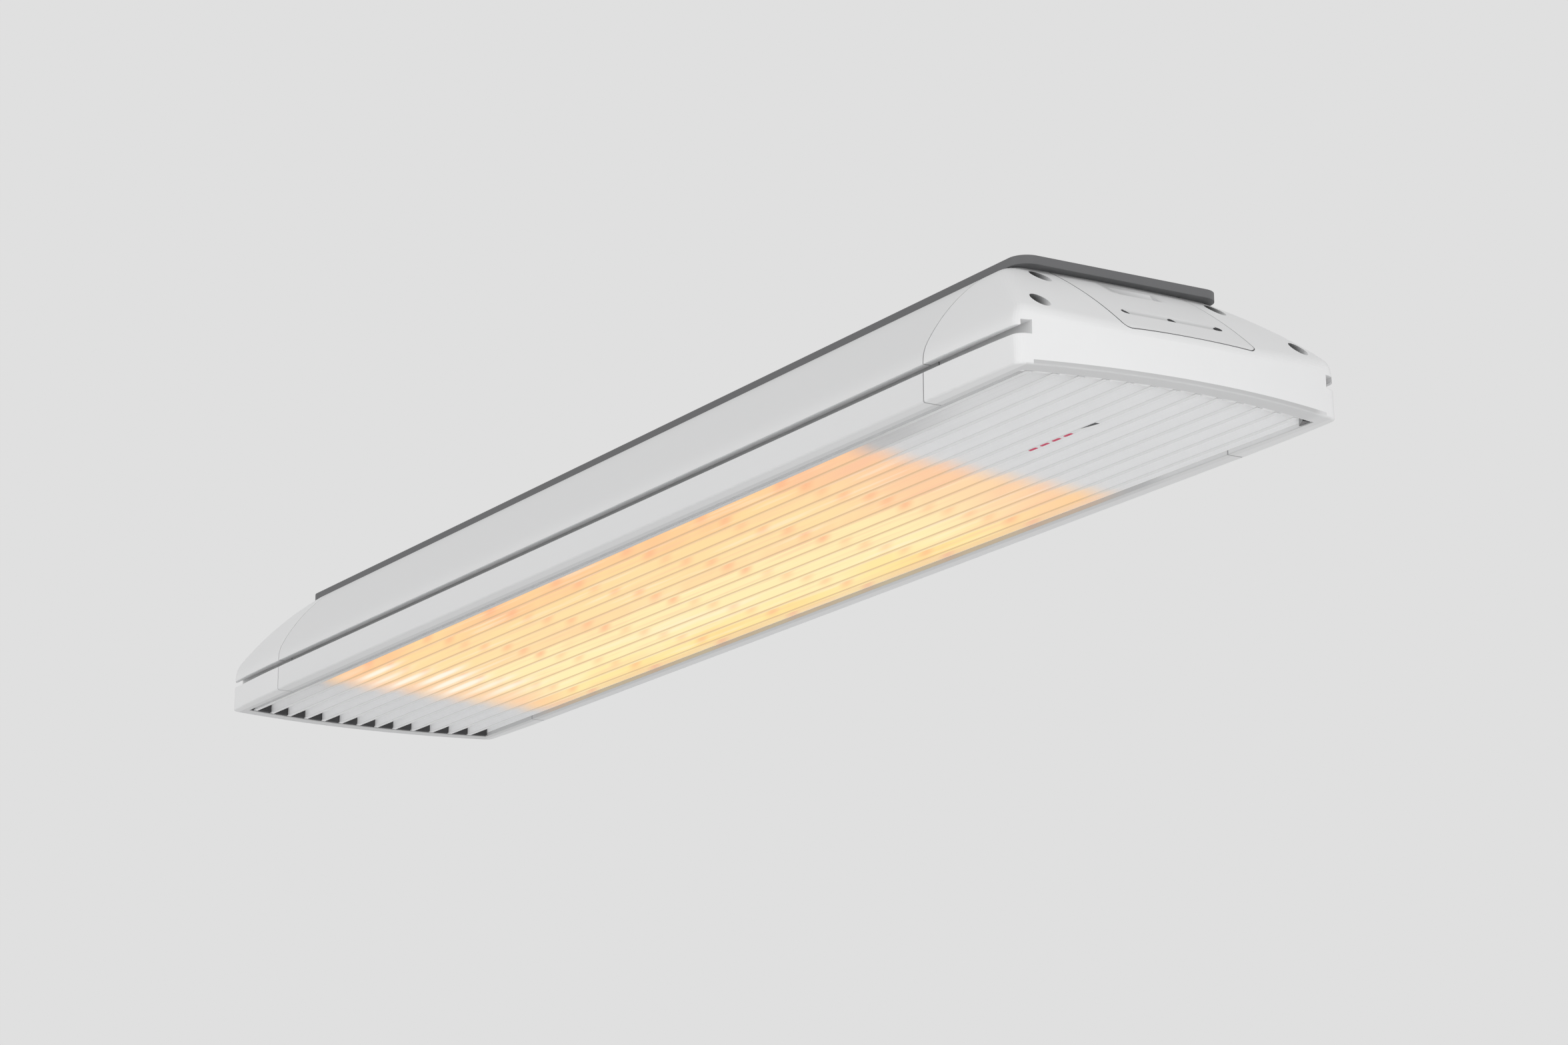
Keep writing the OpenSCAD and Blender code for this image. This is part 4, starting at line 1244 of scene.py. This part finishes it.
@dataclass
class Coil:
    """Filament of one lamp: a wound wire with discs that keep it off the glass."""

    node: str
    reflector_x1: float
    wire_r: float = 0.26 * MM
    wire_sides: int = 6
    coil_r: float = 1.6 * MM
    winding: float = 2.3 * MM
    points_per_turn: int = 10
    tail: float = 14.0 * MM
    straight_share: float = 0.8
    first_disc: float = 87.0 * MM
    disc_pitch: float = 85.3 * MM
    disc_count: int = 7
    disc_r: float = 4.4 * MM
    disc_t: float = 0.6 * MM
    disc_sides: int = 28

    def build(self, wire: Finish) -> None:
        """Builds the coil and its discs.

        Args:
            wire: Finish of the hot wire.
        """
        low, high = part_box(self.node)
        axis = Vector((0.0, halfway((low.y, high.y)), halfway((low.z, high.z))))
        straight = self.tail * self.straight_share
        reach = self.coil_r - self.wire_r
        turns = round((high.x - low.x - 2 * self.tail) / self.winding)
        spots = [(low.x, 0.0, 0.0), (low.x + straight, 0.0, 0.0)]
        for k in range(turns * self.points_per_turn + 1):
            a = 2 * math.pi * k / self.points_per_turn
            spots.append((low.x + self.tail + k * self.winding / self.points_per_turn,
                          reach * math.cos(a), reach * math.sin(a)))
        spots += [(high.x - straight, 0.0, 0.0), (high.x, 0.0, 0.0)]
        mesh = Mesh(f"coil_{self.node}")
        mesh.tube([axis + Vector(spot) for spot in spots], self.wire_r, self.wire_sides)
        rim = self.disc_t / 3
        disc = [(self.disc_r - rim, 0.0), (self.disc_r, rim), (self.disc_r, self.disc_t - rim),
                (self.disc_r - rim, self.disc_t)]
        turn = Matrix.Rotation(math.pi / 2, 4, "Y")
        for k in range(self.disc_count):
            x = self.reflector_x1 - self.first_disc - k * self.disc_pitch - self.disc_t / 2
            mesh.turned(disc, self.disc_sides, Matrix.Translation((x, axis.y, axis.z)) @ turn)
        mesh.piece(wire, "filament", [self.node])


@dataclass
class FeltedMat:
    """Fibre mat with a felted surface, a little inside its solid.

    Each wave of the surface has its turns along and across the mat, in radians per metre.
    """

    loft: float = 0.45 * MM
    steps_x: int = 190
    steps_y: int = 34
    broad: Span = (310.0, 420.0)
    crossed: Span = (940.0, 770.0)
    crossed_share: float = 0.6
    fine: Span = (620.0, 1500.0)
    fine_share: float = 0.4
    lower_shift: float = 2.0

    def build(self, fibre: Finish) -> None:
        """Builds the mat.

        Args:
            fibre: Its finish.
        """
        low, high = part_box("insulation_mat")
        width = high.y - low.y - 2 * self.loft
        ys = [low.y + self.loft + width * j / (self.steps_y - 1) for j in range(self.steps_y)]
        rings = []
        for i in range(self.steps_x + 1):
            x = low.x + (high.x - low.x) * i / self.steps_x
            upper = [Vector((x, y, high.z - self.loft * self.tuft(x, y, 0.0))) for y in ys]
            lower = [Vector((x, y, low.z + self.loft * self.tuft(x, y, self.lower_shift)))
                     for y in ys]
            rings.append(upper + lower[::-1])
        mesh = Mesh("felted_mat")
        mesh.skin(rings)
        piece = mesh.piece(fibre, "mat_fibre", ["insulation_mat"])

    def tuft(self, x: float, y: float, shift: float) -> float:
        """Uneven loft of the felt at a place, from 0 to 1, as three crossed waves."""
        broad = math.sin(x * self.broad[0] + shift) * math.sin(y * self.broad[1] + 2 * shift)
        crossed = math.sin(x * self.crossed[0] + y * self.crossed[1] + shift)
        fine = math.sin(y * self.fine[1] - x * self.fine[0])
        return 0.5 + (broad + self.crossed_share * crossed + self.fine_share * fine) / 4


@dataclass
class LampBay(SubAssembly):
    """Reflector, lamps, brackets and leads, with the mat and shield that lie over them."""

    def build(self) -> None:
        """See SubAssembly.build."""
        self.dress(Metal("reflector_sheet", (0.88, 0.88, 0.87), 0.16, depth=0.004 * MM,
                         mottle=0.04), "reflector", "reflector_end_left", "reflector_end_right")
        self.dress(Galvanised("grey_sheet", (0.62, 0.63, 0.64), 0.38),
                   "heat_shield", "lamp_bracket_left", "lamp_bracket_right")
        self.dress(Quartz("lamp_quartz", (0.96, 0.97, 0.98), 0.02),
                   "lamp_tube_front", "lamp_tube_rear")
        self.dress(Moulded("lamp_ceramic", (0.80, 0.77, 0.70), 0.62, grain=700.0),
                   "lamp_end_caps")
        self.dress(Braid("braided_sleeve", (0.78, 0.74, 0.58), 0.7), "lamp_leads")
        wire = Lit("hot_wire", (0.25, 0.10, 0.05), 0.6, shine=(1.0, 0.42, 0.10), patch=40.0)
        reflector_x1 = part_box("reflector")[1].x
        for node in ("lamp_filament_front", "lamp_filament_rear"):
            Coil(node, reflector_x1).build(wire)
        FeltedMat().build(FibreMat("felted_fibre", (0.82, 0.80, 0.74), 0.95))


@dataclass
class ControlBay(SubAssembly):
    """Tray, board and what stands on it, behind the unlit end of the grille."""

    def build(self) -> None:
        """See SubAssembly.build."""
        self.dress(Galvanised("tray_sheet", (0.60, 0.61, 0.62), 0.4), "control_tray")
        self.dress(CircuitBoard("board_lacquer", (0.03, 0.16, 0.06), 0.4), "control_board")
        self.dress(Metal("turned_brass", (0.72, 0.53, 0.24), 0.32), "board_pillars")
        self.dress(Moulded("relay_plastic", (0.025, 0.025, 0.027), 0.42), "power_relays")
        self.dress(Moulded("capacitor_sleeve", (0.02, 0.04, 0.16), 0.3, depth=0.005 * MM),
                   "filter_capacitors")
        self.dress(Metal("sink_aluminium", (0.66, 0.67, 0.68), 0.34), "heat_sink")


@dataclass
class CeilingMount(SubAssembly):
    """Mounting plate against the ceiling and the studs under it.

    The plate's dark paint is partly its own coat and partly painted shadow: it also stands in for
    the contact shadow on the ceiling along the top edge.
    """

    def build(self) -> None:
        """See SubAssembly.build."""
        # Dark grey coat of the plate, partly painted shadow: it also stands in for the contact
        # shadow along the ceiling.
        self.dress(PowderCoat("plate_coat_and_shadow", (0.14, 0.141, 0.145), 0.5, drawn_share=0.1),
                   "mounting_plate")
        self.dress(Metal("stud_steel", (0.55, 0.55, 0.56), 0.34), "hanging_studs")


@dataclass
class Lamp:
    """A soft square lamp that faces the heater."""

    name: str
    place: Colour
    size: float
    watts: float

    def build(self) -> None:
        """Hangs the lamp."""
        data = bpy.data.lights.new(self.name, "AREA")
        data.shape, data.size, data.energy = "SQUARE", self.size, self.watts
        lamp = place_object(self.name, data)
        lamp.location = self.place
        lamp.rotation_mode = "QUATERNION"
        lamp.rotation_quaternion = (-Vector(self.place)).to_track_quat("-Z", "Y")
        lamp.visible_camera = False


@dataclass
class Studio:
    """Pale room, soft light and the camera of the photograph.

    The room's light comes evenly from all sides, a little more from the control end.
    """

    pale: float = 0.745
    even: float = 0.62
    lean: Colour = (0.10, -0.05, -0.06)
    lamps: tuple[Lamp, ...] = (
        Lamp("end_light", (3.0, -0.6, -1.1), 2.0, 29.0),
        Lamp("front_light", (-0.5, -3.0, 0.9), 2.4, 15.0),
        Lamp("low_light", (0.5, -0.7, -3.5), 2.4, 46.0),
        Lamp("top_light", (0.6, 0.3, 2.8), 2.2, 6.0))
    floor_z: float = -4.3
    floor_r: float = 9.0
    floor_sides: int = 96
    floor_fade: Span = (1.5, 4.5)
    paper: Colour = (0.76, 0.76, 0.76)
    paper_roughness: float = 0.9
    lens: float = 88.785
    sensor: float = 36.0
    sight: Span = (0.05, 60.0)
    eye: Colour = (1.91745, -1.11920, -0.61876)
    ahead: Colour = (-0.82468, 0.50532, 0.25407)
    up: Colour = (0.21950, -0.12805, 0.96717)

    def build(self) -> None:
        """Builds the room, the lamps and the camera."""
        self.room()
        self.floor()
        for lamp in self.lamps:
            lamp.build()
        self.camera()

    def seen(self, g: Graph) -> Field:
        """Is 1 for rays that show the background: from the camera, off gloss, through glass."""
        kinds = ("Camera", "Glossy", "Transmission")
        return g.larger(*[g.add("LightPath", out=f"Is {kind} Ray") for kind in kinds])

    def room(self) -> None:
        """Builds the world: pale where it is seen, and a soft light that leans to one end."""
        world = bpy.data.worlds.new("pale_room")
        world.use_nodes = True
        bpy.context.scene.world = world
        g = Graph(world.node_tree)
        light = g.dot(g.add("TexCoord", out="Generated"), self.lean) + self.even
        strength = g.add("Mix", {0: self.seen(g), 2: light, 3: self.pale}, data_type="FLOAT")
        g.feed(world.node_tree.nodes["Background"], {"Color": WHITE, "Strength": strength})

    def floor(self) -> None:
        """Builds a round pale floor, far enough down to look up at the heater from below."""
        mesh = bmesh.new()
        bmesh.ops.create_circle(mesh, cap_ends=True, segments=self.floor_sides,
                                radius=self.floor_r)
        data = bpy.data.meshes.new("studio_floor")
        mesh.to_mesh(data)
        mesh.free()
        floor = place_object("studio_floor", data)
        floor.location.z = self.floor_z
        data.materials.append(self.floor_paper())
        log.info("floor at %.2f m", self.floor_z)

    def floor_paper(self) -> bpy.types.Material:
        """Builds pale paper that fades into the background far out.

        Returns:
            The material.
        """
        material = bpy.data.materials.new("floor_paper")
        material.use_nodes = True
        g = Graph(material.node_tree)
        nodes = material.node_tree.nodes
        shader = nodes["Principled BSDF"]
        g.feed(shader, {"Base Color": self.paper, "Roughness": self.paper_roughness})
        glow = g.add("Emission", {"Color": (self.pale,) * 3, "Strength": 1.0})
        share = self.seen(g) * g.step(g.length(g.place), *self.floor_fade)
        mix = g.add("MixShader", {0: share, 1: Field(g, shader.outputs[0]), 2: glow})
        g.feed(nodes["Material Output"], {"Surface": mix})
        return material

    def camera(self) -> None:
        """Sets up the camera at the photograph's viewpoint."""
        data = bpy.data.cameras.new("camera")
        data.sensor_fit, data.sensor_width, data.lens = "HORIZONTAL", self.sensor, self.lens
        data.clip_start, data.clip_end = self.sight
        back = -Vector(self.ahead).normalized()
        right = Vector(self.up).cross(back).normalized()
        turn = Matrix((right, back.cross(right), back)).transposed()
        camera = place_object("camera", data)
        camera.matrix_world = Matrix.Translation(self.eye) @ turn.to_4x4()
        bpy.context.scene.camera = camera
        bpy.context.scene.view_settings.view_transform = "Standard"


def main() -> None:
    logging.basicConfig(level=logging.INFO, format="%(message)s")
    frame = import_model()
    rim_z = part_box("housing")[0].z
    nodes = frame["nodes"]
    recesses = Recesses.found(nodes["end_cap_screws_right"], nodes["end_cap_right"], rim_z)
    parts: list[SubAssembly | Studio] = [
        Shell(frame, recesses),
        Connection(frame),
        FrontGrille(frame, rim_z),
        LampBay(frame),
        ControlBay(frame),
        CeilingMount(frame),
        Studio(),
    ]
    for part in parts:
        log.info("%s", type(part).__name__)
        part.build()


if __name__ == "__main__":
    main()
